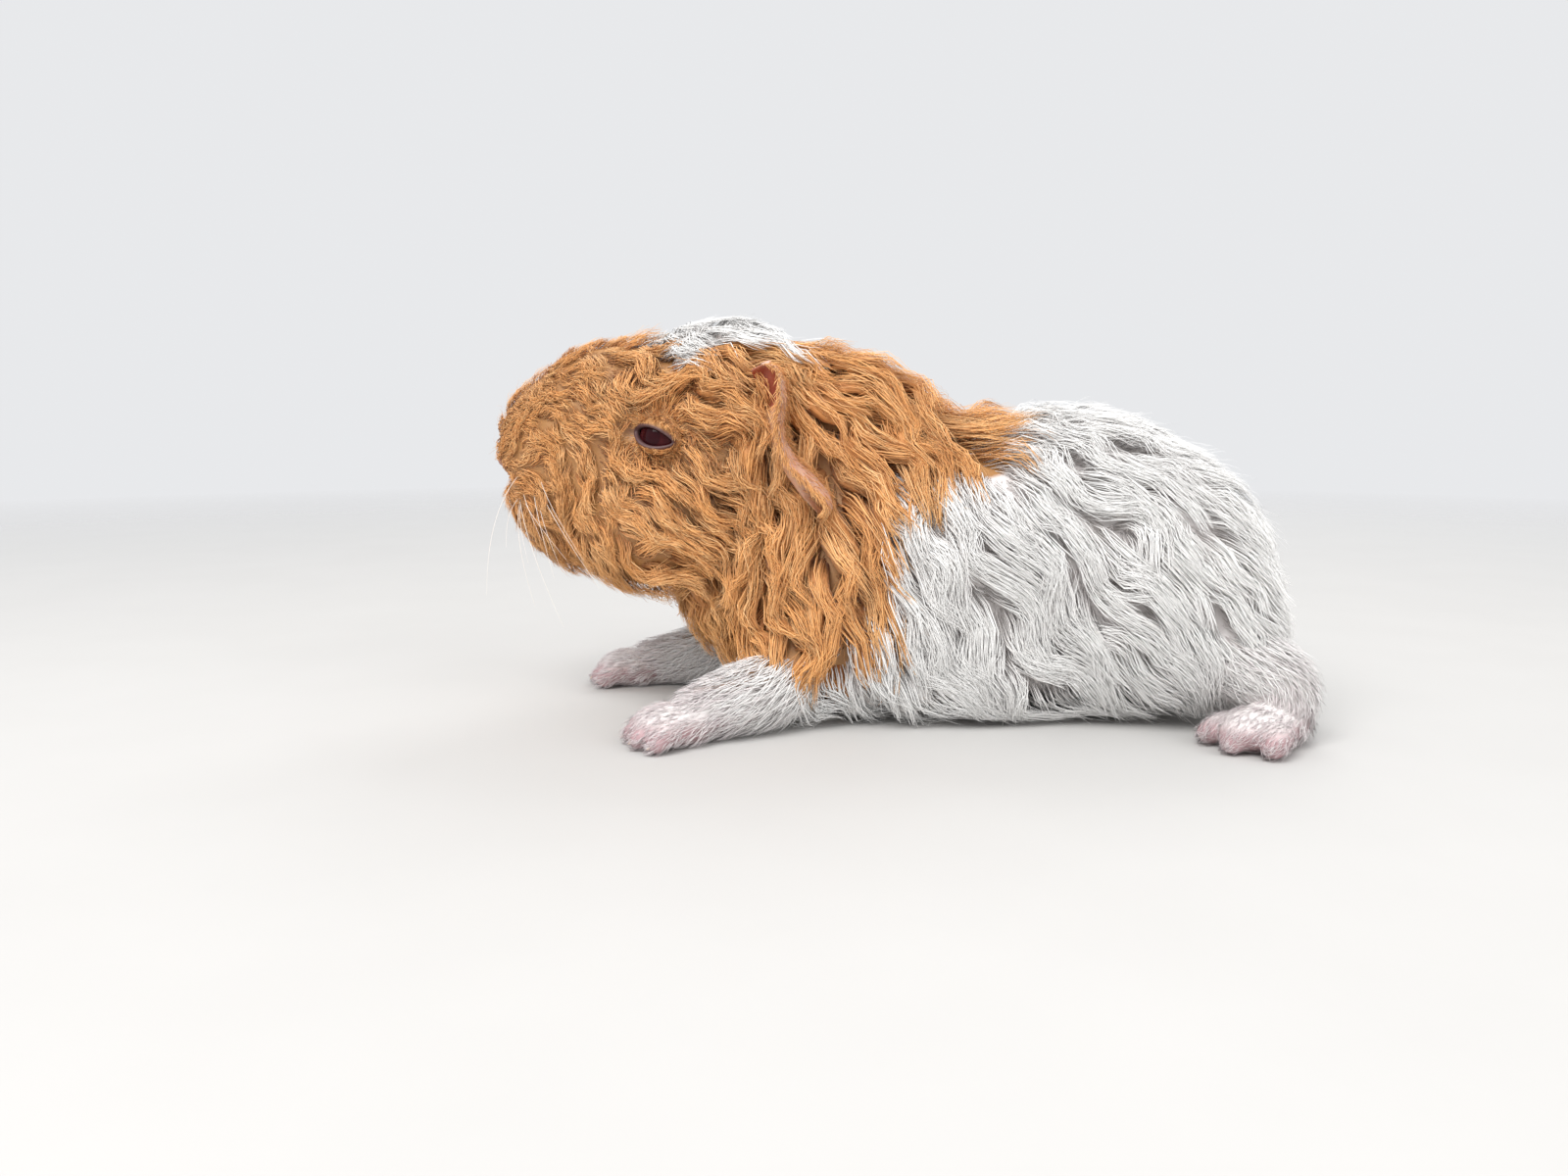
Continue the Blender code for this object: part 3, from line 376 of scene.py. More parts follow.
def outside_of_coat(points):
    """Signed distance in millimetres from the outline of the coat, below zero inside it."""
    total = np.zeros(len(points))
    for centre, radii, pitch, paired in MASSES.values():
        radii = np.array(radii, float)
        turn = math.radians(pitch)
        for side in (-1, 1) if paired else (1,):
            away = points - np.array(centre, float) * (1, side, 1)
            if pitch:
                along = away[:, 0] * math.cos(turn) - away[:, 2] * math.sin(turn)
                above = away[:, 0] * math.sin(turn) + away[:, 2] * math.cos(turn)
                away = np.column_stack([along, away[:, 1], above])
            local = away / radii
            share = np.sqrt((local**2).sum(1))
            slope = np.sqrt(((local / radii) ** 2).sum(1))
            total += np.exp(-share * (share - 1) / np.maximum(slope, 1e-6) / BLEND)
    body = -BLEND * np.log(np.maximum(total, 1e-300))
    return HEM_BLEND * np.logaddexp(body / HEM_BLEND, (HEM_HEIGHT - points[:, 2]) / HEM_BLEND)


def skin_depth(points):
    return np.interp(points[:, 0], SKIN_AT, SKIN_DEPTH)


def outside_of_skin(points):
    return outside_of_coat(points) + skin_depth(points)


def cast(origins, directions, field, reach=70.0):
    """Where rays from inside the body meet a field's zero, found by halving."""
    near, far = np.zeros(len(origins)), np.full(len(origins), reach)
    for _ in range(24):
        middle = (near + far) / 2
        inside = field(origins + directions * middle[:, None]) < 0
        near, far = np.where(inside, middle, near), np.where(inside, far, middle)
    return origins + directions * near[:, None]


def slope_at(points, step=0.25):
    """The outline's value at points and its slope as unit vectors that point outwards."""
    value = outside_of_coat(points)
    found = np.column_stack([outside_of_coat(points + step * axis) - value for axis in np.eye(3)])
    return value, unit(found)


def unit(vectors):
    return vectors / np.maximum(np.linalg.norm(vectors, axis=-1, keepdims=True), 1e-9)


def onto_level(points, level, times=2):
    """Points moved along the coat's slope to where the outline is the given distance away."""
    for _ in range(times):
        value, normals = slope_at(points)
        points = points + normals * (level - value)[:, None]
    return points, normals


def ripple(points, size, seed):
    """A smooth height from about -1 to 1 over places, with swells of about the given size."""
    draw = np.random.default_rng(seed)
    ways = unit(draw.normal(size=(6, 3))) * (2 * math.pi / size) * draw.uniform(0.7, 1.4, (6, 1))
    return np.sin(points @ ways.T + draw.uniform(0, 2 * math.pi, 6)).sum(1) / 2.4


# Rings of the body


def spine_axes():
    forward = unit(SPINE_NOSE - SPINE_RUMP)
    across = np.array((0.0, 1.0, 0.0))
    return forward, across, np.cross(across, forward)


def spine_ring(place, lean):
    forward, across, up = spine_axes()
    angles = np.linspace(0, 2 * math.pi, RING_SIDES, endpoint=False)
    spokes = np.outer(np.cos(angles), across) + np.outer(np.sin(angles), up)
    directions = spokes * math.cos(lean) + forward * math.sin(lean)
    return np.tile(SPINE_NOSE + (SPINE_RUMP - SPINE_NOSE) * place, (RING_SIDES, 1)), directions


def body_rays():
    """Origins and directions of the body's rays, ring by ring from nose to rump, with one ray at each end."""
    forward = spine_axes()[0]
    quarter = math.pi / 2
    rings = [spine_ring(0, quarter * (1 - k / NOSE_RINGS)) for k in range(1, NOSE_RINGS + 1)]
    rings += [spine_ring(k / TRUNK_RINGS, 0) for k in range(1, TRUNK_RINGS)]
    rings += [spine_ring(1, -quarter * (1 - k / RUMP_RINGS)) for k in range(RUMP_RINGS, 0, -1)]
    origins = np.vstack([SPINE_NOSE[None], *[origin for origin, _ in rings], SPINE_RUMP[None]])
    directions = np.vstack([forward[None], *[direction for _, direction in rings], -forward[None]])
    return origins, directions


def ring_faces(rings, sides):
    """Quads between rings that follow a first point, and fans that close both ends."""
    last = 1 + (rings - 1) * sides
    faces = []
    for k in range(sides):
        after = (k + 1) % sides
        faces.append((0, 1 + k, 1 + after))
        faces.append((last + k, last + sides, last + after))
        for first in range(1, last, sides):
            faces.append((first + k, first + sides + k, first + sides + after, first + after))
    return faces


def unwrap(points):
    """Where points of the body lie on its unwrap: round it as a share, and along it in millimetres."""
    forward, across, up = spine_axes()
    rel = points - SPINE_NOSE
    along = -rel @ forward
    length = np.linalg.norm(SPINE_RUMP - SPINE_NOSE)
    side, high = rel @ across, rel @ up
    radial = np.hypot(side, high)
    before = -np.arctan2(-along, radial) * 18
    behind = length + np.arctan2(along - length, radial) * 24
    place = np.where(along < 0, before, np.where(along > length, behind, along))
    return np.column_stack([np.arctan2(side, high) / (2 * math.pi) + 0.5, place])


# Meshes and how they are finished


def select_none():
    for obj in bpy.context.view_layer.objects:
        obj.select_set(False)


def pick(*objs):
    """Selects these objects alone and makes the first one active."""
    select_none()
    for obj in objs:
        obj.select_set(True)
    bpy.context.view_layer.objects.active = objs[0]


def joined(name, pieces):
    """Several pieces as one of the given name."""
    pick(*pieces)
    bpy.ops.object.join()
    whole = bpy.context.object
    whole.name = whole.data.name = name
    return whole


def ball(segments, rings, **placing):
    """A ball with its place, turn and size applied."""
    select_none()
    bpy.ops.mesh.primitive_uv_sphere_add(segments=segments, ring_count=rings, **placing)
    bpy.ops.object.transform_apply(location=True, rotation=True, scale=True)
    return bpy.context.object


def new_mesh(name, points, faces):
    """A mesh object at the origin from points in millimetres, facing outwards."""
    mesh = bpy.data.meshes.new(name)
    mesh.from_pydata(((np.asarray(points, float) + SHIFT) * MM).tolist(), [], faces)
    work = bmesh.new()
    work.from_mesh(mesh)
    bmesh.ops.recalc_face_normals(work, faces=work.faces)
    work.to_mesh(mesh)
    work.free()
    obj = bpy.data.objects.new(name, mesh)
    bpy.context.scene.collection.objects.link(obj)
    return obj


def coordinates(obj):
    """The mesh's points in millimetres."""
    found = np.empty(len(obj.data.vertices) * 3)
    obj.data.vertices.foreach_get("co", found)
    return found.reshape(-1, 3) / MM - SHIFT


def set_coordinates(obj, points):
    obj.data.vertices.foreach_set("co", ((points + SHIFT) * MM).ravel())
    obj.data.update()


def normals_of(obj):
    found = np.empty(len(obj.data.vertices) * 3)
    obj.data.vertices.foreach_get("normal", found)
    return found.reshape(-1, 3)


def set_values(obj, name, values):
    """A number at each point of the mesh, which its material reads."""
    attribute = obj.data.attributes.get(name) or obj.data.attributes.new(name, "FLOAT", "POINT")
    attribute.data.foreach_set("value", np.asarray(values, np.float32))


def apply_modifier(obj, kind, **settings):
    pick(obj)
    modifier = obj.modifiers.new(kind.lower(), kind)
    for key, value in settings.items():
        setattr(modifier, key, value)
    bpy.ops.object.modifier_apply(modifier=modifier.name)


def finish_piece(obj, finish, replaced=()):
    """Gives a piece its material, the body it rides on and the solids that it replaces."""
    obj.data.shade_smooth()
    obj.data.materials.clear()
    obj.data.materials.append(material(finish))
    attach(obj, BODY)
    if replaced:
        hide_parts(*replaced)


# Legs and paws


def smooth_path(joints, steps):
    """A smooth curve through a limb's joints, with the radius at each of its points."""
    knots = np.array([(*place, radius) for place, radius in joints], float)
    slopes = np.gradient(knots, axis=0)
    made = []
    for t in np.linspace(0, len(knots) - 1, (len(knots) - 1) * steps + 1):
        k = min(int(t), len(knots) - 2)
        s = t - k
        start = (1 + 2 * s) * (1 - s) ** 2 * knots[k] + s * (1 - s) ** 2 * slopes[k]
        end = s * s * (3 - 2 * s) * knots[k + 1] + s * s * (s - 1) * slopes[k + 1]
        made.append(start + end)
    made = np.array(made)
    return made[:, :3], made[:, 3]


def on_side(joints, side):
    return tuple(((x, side * -y, z), radius) for (x, y, z), radius in joints)


def paw_frame(joints, turn, side):
    (x, y, _), _ = joints[-1]
    angle = math.radians(180 - side * turn)
    return np.array((x, y, 0.0)), np.array((math.cos(angle), math.sin(angle), 0.0)), angle


def toe_lines(kind, wrist, ahead, angle):
    """Each toe's root, knuckle, end and way, fanned about the paw's middle."""
    length, width, height = kind["palm"]
    across = np.array((-ahead[1], ahead[0], 0.0))
    lines = []
    for share in np.linspace(-1, 1, kind["toes"]):
        fan = angle + math.radians(kind["fan"] / 2) * share
        way = np.array((math.cos(fan), math.sin(fan), 0.0))
        middle_most = 1 - 0.14 * share**2
        root = wrist + ahead * length * 0.55 * middle_most + across * width * 0.62 * share
        root = root + (0, 0, height * 0.62)
        reach = kind["toe_length"] * middle_most
        knuckle = root + way * reach * 0.55 + (0, 0, 0.45)
        end = root + way * reach
        end[2] = kind["toe_radius"] * 0.86
        lines.append((root, knuckle, end, way))
    return lines


def tube(name, path, radii, sides=20, caps=(20, 45, 70)):
    """A closed tube along a path, with a rounded end at both ends."""
    path, radii = np.array(path, float), np.array(radii, float)
    ahead = unit(np.gradient(path, axis=0))

    def rounded(end, way, leans):
        """Rings that close an end, each as far along the end's ball as its angle says."""
        found = []
        for lean in np.radians(leans):
            middle = path[end] + way * ahead[end] * radii[end] * math.cos(lean)
            found.append((middle, ahead[end], radii[end] * math.sin(lean)))
        return found

    rings = [*rounded(0, -1, caps), *zip(path, ahead, radii), *rounded(-1, 1, caps[::-1])]
    across = np.eye(3)[np.argmin(np.abs(ahead[0]))]
    points = [path[0] - ahead[0] * radii[0]]
    for centre, direction, radius in rings:
        across = unit(across - direction * np.dot(across, direction))
        up = np.cross(across, direction)
        for t in np.linspace(0, 2 * math.pi, sides, endpoint=False):
            points.append(centre + radius * (across * math.cos(t) + up * math.sin(t)))
    points.append(path[-1] + ahead[-1] * radii[-1])
    return new_mesh(name, points, ring_faces(len(rings), sides))


def paw_palm(kind, joints, turn, side):
    wrist, ahead, angle = paw_frame(joints, turn, side)
    length, width, height = kind["palm"]
    middle = wrist + ahead * length * 0.45 + (0, 0, height * 0.8)
    return ball(
        32, 20, radius=1, location=(middle + SHIFT) * MM, rotation=(0, 0, angle),
        scale=[(size - PAW_FUR) * MM for size in (length, width, height)],
    )


def limb_pieces():
    """Legs, palms and toes as closed shapes that run into one another."""
    made = []
    for joints, kind, turn, side in LIMBS.values():
        joints = on_side(joints, side)
        path, radii = smooth_path(joints, 5)
        fur = np.interp(np.linspace(0, 1, len(path)), (0, 0.7, 1), (LEG_FUR + 0.6, LEG_FUR, PAW_FUR))
        made.append(tube("leg", path, radii - fur))
        made.append(paw_palm(kind, joints, turn, side))
        radius = kind["toe_radius"] - PAW_FUR * 0.6
        for line in toe_lines(kind, *paw_frame(joints, turn, side)):
            path, radii = smooth_path(tuple(zip(line[:3], (radius * 0.9, radius * 1.06, radius * 0.9))), 4)
            made.append(tube("toe", path, radii, sides=16))
    return made


# Eyes and lids


def eye_centre(side):
    x, y, z = EYE_AT
    return np.array((x, side * -y, z), float)


def eye_axes(side):
    """The way that an eye looks, and the long and the high way of the opening between its lids."""
    ahead, up = math.radians(EYE_AHEAD), math.radians(EYE_UP)
    axis = unit(np.array((-math.sin(ahead), side * math.cos(ahead) * math.cos(up), math.sin(up))))
    level = unit(np.cross(axis, (0.0, 0.0, 1.0)) * -side)
    rise = np.cross(level, axis) * side
    turn = math.radians(FISSURE_TILT)
    long_way = level * math.cos(turn) - rise * math.sin(turn)
    return axis, long_way, level * math.sin(turn) + rise * math.cos(turn)


def lids(side):
    """Both lids as one closed rim that hugs the eyeball, thickest at its rolled edge."""
    axis, long_way, high_way = eye_axes(side)
    radius = face_sizes().eye_radius / MM
    inner, outer = radius + LID_INNER, radius + LID_INNER + LID_THICKNESS
    rows = [(q, inner) for q in np.linspace(1, 0.02, 7)]
    rows += [(-0.03, (inner + outer) / 2 + 0.05)]
    for q in (0.02, 0.08, 0.16, 0.27, 0.4, 0.55, 0.7, 0.85, 1.0):
        rows.append((q, outer + LID_SWELL * math.exp(-q / 0.12) - 2.0 * q**2))
    points = []
    for share, distance in rows:
        for t in np.linspace(0, 2 * math.pi, LID_SIDES, endpoint=False):
            high = math.sin(t) * (1 - 0.25 * math.cos(t) ** 2) * FISSURE_HEIGHT / 2
            near = long_way * math.cos(t) * FISSURE_LENGTH / 2 + high_way * high
            near = near / radius
            wide = (long_way * math.cos(t) + high_way * math.sin(t)) * math.sin(LID_REACH)
            flat = near + (wide - near) * share
            lean = min(np.linalg.norm(flat), 0.98)
            points.append(eye_centre(side) + distance * (axis * math.sqrt(1 - lean**2) + flat))
    faces = []
    count = len(rows)
    for i in range(count):
        for k in range(LID_SIDES):
            a, b = i * LID_SIDES + k, i * LID_SIDES + (k + 1) % LID_SIDES
            below = (i + 1) % count * LID_SIDES - i * LID_SIDES
            faces.append((a, b, b + below, a + below))
    return new_mesh("lids", points, faces)


def near_eye(points):
    """Distance of points from the nearer eye, and their angle off its axis as a share of the lids' opening."""
    apart, opening = np.full(len(points), 1e3), np.full(len(points), 1e3)
    radius = face_sizes().eye_radius / MM
    half_long, half_high = (math.asin(size / 2 / radius) for size in (FISSURE_LENGTH, FISSURE_HEIGHT))
    for side in SIDES.values():
        axis, long_way, high_way = eye_axes(side)
        away = points - eye_centre(side)
        distance = np.linalg.norm(away, axis=1)
        level, high = away @ long_way, away @ high_way
        flat = np.maximum(np.hypot(level, high), 1e-9)
        lean = np.arctan2(flat, away @ axis) / flat
        opening = np.where(distance < apart, lean * np.hypot(level / half_long, high / half_high), opening)
        apart = np.minimum(apart, distance)
    return apart, opening


def nearer_eye(points):
    return np.where(points[:, 1:2] > 0, eye_centre(1), eye_centre(-1))


# Skin


def carve_face(points, normals):
    """Lips, the line of the mouth, the groove below the nose, nostrils and the nose's pad, with how deep each
    place is carved in, where the skin is painted darker as shade.
    """
    face, front = points[:, 0] < FACE_BACK, points[:, 0] < FRONT_BACK
    angle = np.arctan2(points[:, 1], -(points[:, 0] - FACE_MIDDLE))
    share = np.clip(np.abs(np.degrees(angle)) / MOUTH_SPREAD, 0, 1)
    line = points[:, 2] - (MOUTH_HEIGHT - MOUTH_DROP * share**1.5)
    ends = np.where(face, 1 - share**6, 0)
    push = -MOUTH_DEPTH * np.exp(-((line / 0.42) ** 2)) * ends
    push += LIP_SWELL * np.exp(-(((np.abs(line) - 1.3) / 0.7) ** 2)) * ends
    groove = np.clip((points[:, 2] - MOUTH_HEIGHT) / 1.5, 0, 1)
    groove = groove * np.clip((NOSTRIL_AT[2] - points[:, 2]) / 1.5, 0, 1)
    push += np.where(front, -GROOVE_DEPTH * np.exp(-((points[:, 1] / 0.42) ** 2)) * groove, 0)
    pad = np.linalg.norm((points - NOSE_PAD) / PAD_SIZE, axis=1)
    push += np.where(front, PAD_SWELL * np.exp(-(pad**4)), 0)
    push -= NOTCH_DEPTH * np.exp(-(((points - NOSE_NOTCH) / NOTCH_SIZE) ** 2).sum(1))
    for side in SIDES.values():
        away = points - NOSTRIL_AT * (1, side, 1)
        slit = (away[:, 2] * 0.75 + away[:, 1] * side * 0.66) / 1.25
        across = (away[:, 1] * side * 0.75 - away[:, 2] * 0.66 + 0.35 * slit**2) / 0.55
        push -= np.where(front, NOSTRIL_DEPTH * np.exp(-(slit**4) - across**2), 0)
    moved = points + normals * push[:, None]
    return moved, np.where(front, np.exp(-(pad**4)), 0), -np.minimum(push, 0)


def build_skin():
    """One skin for head, neck, trunk, legs and paws, with lids, lips and nostrils."""
    origins, directions = body_rays()
    rings = (len(origins) - 2) // RING_SIDES
    skin = new_mesh("skin", cast(origins, directions, outside_of_skin), ring_faces(rings, RING_SIDES))
    skin = joined("skin", [skin, *limb_pieces()])
    apply_modifier(skin, "REMESH", mode="VOXEL", voxel_size=SKIN_VOXEL * MM, use_smooth_shade=True)
    apply_modifier(skin, "SMOOTH", factor=0.5, iterations=SKIN_SMOOTHING)
    points, pad, recess_shade = carve_face(coordinates(skin), normals_of(skin))
    points[:, 2] = np.maximum(points[:, 2], 0.0)
    apart, opening = near_eye(points)
    centres = nearer_eye(points)
    sunk = np.minimum(apart, face_sizes().eye_radius / MM - 0.7)
    behind = np.where(apart < EYE_NEAR, np.clip((OPENING_EDGE - opening) / 0.2, 0, 1), 0)
    set_coordinates(skin, centres + (points - centres) * (1 + (sunk / apart - 1) * behind)[:, None])
    set_values(skin, "pad", pad)
    set_values(skin, "recess_shade", recess_shade)
    skin = joined("skin", [skin, *[lids(side) for side in SIDES.values()]])
    points = coordinates(skin)
    apart, opening = near_eye(points)
    outer = np.clip((outside_of_coat(points) + 1.5) / 2.5, 0, 1)
    low = np.clip((5.0 - points[:, 2]) / 2, 0, 1)
    set_values(skin, "white", white_share(points))
    set_values(skin, "rim", np.where(apart < 6, np.clip((1.3 - opening) / 0.2, 0, 1), 0))
    set_values(skin, "bare", outer * low)
    nodes = ["head", "neck", "torso", *LIMBS, *[name.replace("leg", "paw") for name in LIMBS]]
    finish_piece(skin, "skin", nodes)


# Markings


def white_share(points):
    """How white the coat is at places of the body: 0 is golden and 1 is white."""
    x, _, z = points.T
    edge = np.interp(z, EDGE_HEIGHT, EDGE_AT) + EDGE_WANDER * ripple(points, 9.0, 21)
    trunk = (x - edge) / 0.8
    blaze_top = 62.0 + 0.9 * ripple(points, 7.0, 22) - 3.4 * np.exp(-(((x + 33) / 2.2) ** 2))
    blaze = np.minimum((z - blaze_top) / 0.4, np.minimum((x + 39.5) / 0.8, (-11.0 - x) / 0.8))
    legs = np.where((x < 0) & (outside_of_coat(points) > -2.0), (8.5 - z) / 0.8, -9)
    return np.clip(0.5 + 0.5 * np.maximum.reduce([trunk, blaze, legs]), 0, 1)


# The coat


def coat_lie(points, normals):
    """How the coat lies: back along the body, down its sides, away from its parting and round the eyes."""
    beside = np.abs(normals[:, 1])
    back, flank = (np.interp(points[:, 0], LIE_AT, lie) for lie in (LIE_ON_BACK, LIE_ON_SIDE))
    fall = np.radians(back + (flank - back) * beside)
    parting = LIE_PARTING * np.tanh(points[:, 1] / 3) * np.maximum(normals[:, 2], 0)
    way = np.column_stack([np.cos(fall), parting, -np.sin(fall)])
    for side in SIDES.values():
        away = points - eye_centre(side)
        apart = np.linalg.norm(away, axis=1)
        way += unit(away) * (1.8 * np.exp(-(((apart - 4) / 3.5) ** 2)))[:, None]
    way -= normals * np.sum(way * normals, axis=1)[:, None]
    return unit(way)


def at_body(points, values):
    return np.interp(points[:, 0], COAT_AT, values)


def scatter(obj_points, faces, weights, count, draw):
    """Places spread over triangles as their weights and areas say."""
    corners = obj_points[faces]
    areas = np.linalg.norm(np.cross(corners[:, 1] - corners[:, 0], corners[:, 2] - corners[:, 0]), axis=1) / 2
    chance = areas * weights
    chosen = draw.choice(len(faces), count, p=chance / chance.sum())
    u, v = draw.random((2, count, 1))
    over = u + v > 1
    u, v = np.where(over, 1 - u, u), np.where(over, 1 - v, v)
    a, b, c = (corners[chosen, k] for k in range(3))
    return a + (b - a) * u + (c - a) * v, chosen


def body_surface():
    """The skin's surface as points and triangles."""
    origins, directions = body_rays()
    points = cast(origins, directions, outside_of_skin)
    faces = []
    for face in ring_faces((len(points) - 2) // RING_SIDES, RING_SIDES):
        faces += [face[:3]] if len(face) == 3 else [face[:3], (face[0], *face[2:])]
    return points, np.array(faces)


def spread_out(candidates, radii):
    """Of the candidates, in their order, those that keep their radius from every one kept before."""
    kept = np.empty((0, 3))
    chosen = []
    for k, (place, radius) in enumerate(zip(candidates, radii)):
        if not len(kept) or ((kept[: len(chosen)] - place) ** 2).sum(1).min() > radius**2:
            if len(chosen) >= len(kept):
                kept = np.vstack([kept, np.full((500, 3), 1e6)])
            kept[len(chosen)] = place
            chosen.append(k)
    return np.array(chosen)


def comb(roots, draw):
    """A wavy path over the coat from each root, with the ways across it and out of it at each step."""
    count = len(roots)
    lengths = at_body(roots, COAT_LENGTH) * draw.uniform(0.8, 1.2, count) * coat_sizes().length
    waves = at_body(roots, WAVE_LENGTH) * draw.uniform(0.8, 1.2, count)
    swing = at_body(roots, WAVE_SWING) * coat_sizes().wave * draw.uniform(0.7, 1.2, count)
    phases = draw.uniform(0, 2 * math.pi, count)
    lean = draw.normal(0, 0.09, count)
    at, normal = onto_level(roots, np.full(count, GUIDE_LEVEL))
    path, outs, ways = [], [], []
    step = lengths / (GUIDE_STEPS - 1)
    for k in range(GUIDE_STEPS):
        lie = coat_lie(at, normal)
        shared = 2 * math.pi * (0.5 * at[:, 0] - 0.8 * at[:, 2]) / COMMON_WAVE + 2.6 * ripple(at, 12.0, 31)
        heading = lean + at_body(at, SWIRL) * (ripple(at, 17.0, 32) + 0.8 * ripple(at, 6.0, 33))
        heading += swing * (0.8 * np.sin(shared) + 0.5 * np.sin(phases + 2 * math.pi * k * step / waves))
        way = lie * np.cos(heading)[:, None] + np.cross(normal, lie) * np.sin(heading)[:, None]
        path.append(at)
        outs.append(normal)
        ways.append(way)
        at, normal = onto_level(at + way * step[:, None], np.full(count, GUIDE_LEVEL), 1)
    return np.array(path), np.array(outs), np.array(ways), lengths, waves, phases


def follow(values, places):
    """Values along guides (steps x tufts x 3), read at places between their steps (stations x tufts)."""
    low = np.clip(places.astype(int), 0, GUIDE_STEPS - 2)
    share = (places - low)[..., None]
    tufts = np.arange(values.shape[1])[None, :]
    return values[low, tufts] * (1 - share) + values[low + 1, tufts] * share


def ease(share):
    share = np.clip(share, 0, 1)
    return share * share * (3 - 2 * share)


def swell_at(places, phases, turns):
    """How a lock rises and sinks with its waves, from -1 to 1."""
    return np.sin(phases[None, :] + SWELL_PHASE + 2 * math.pi * places / (GUIDE_STEPS - 1) * turns[None, :])


def settled(at, level, lowest):
    """Tufts moved to their levels and kept off the floor, with the coat's way out at each of their points."""
    flat, out = onto_level(at.reshape(-1, 3), level.reshape(-1))
    at = flat.reshape(at.shape)
    at[..., 2] = np.maximum(at[..., 2], lowest)
    return at, out.reshape(at.shape)


def framed(at, out):
    """Tufts as their points, with the ways across and out of each tuft there."""
    ahead = unit(np.gradient(at, axis=0))
    across = unit(np.cross(np.broadcast_to(out, at.shape), ahead))
    return {"at": at, "across": across, "out": np.cross(ahead, across)}


def part_of(tufts, keep, stations=slice(None)):
    """Those tufts that are kept, with the given stations of each."""
    if not isinstance(stations, slice):
        stations = list(stations)
    return {key: value[stations][:, keep] if value.ndim == 3 else value[keep] for key, value in tufts.items()}


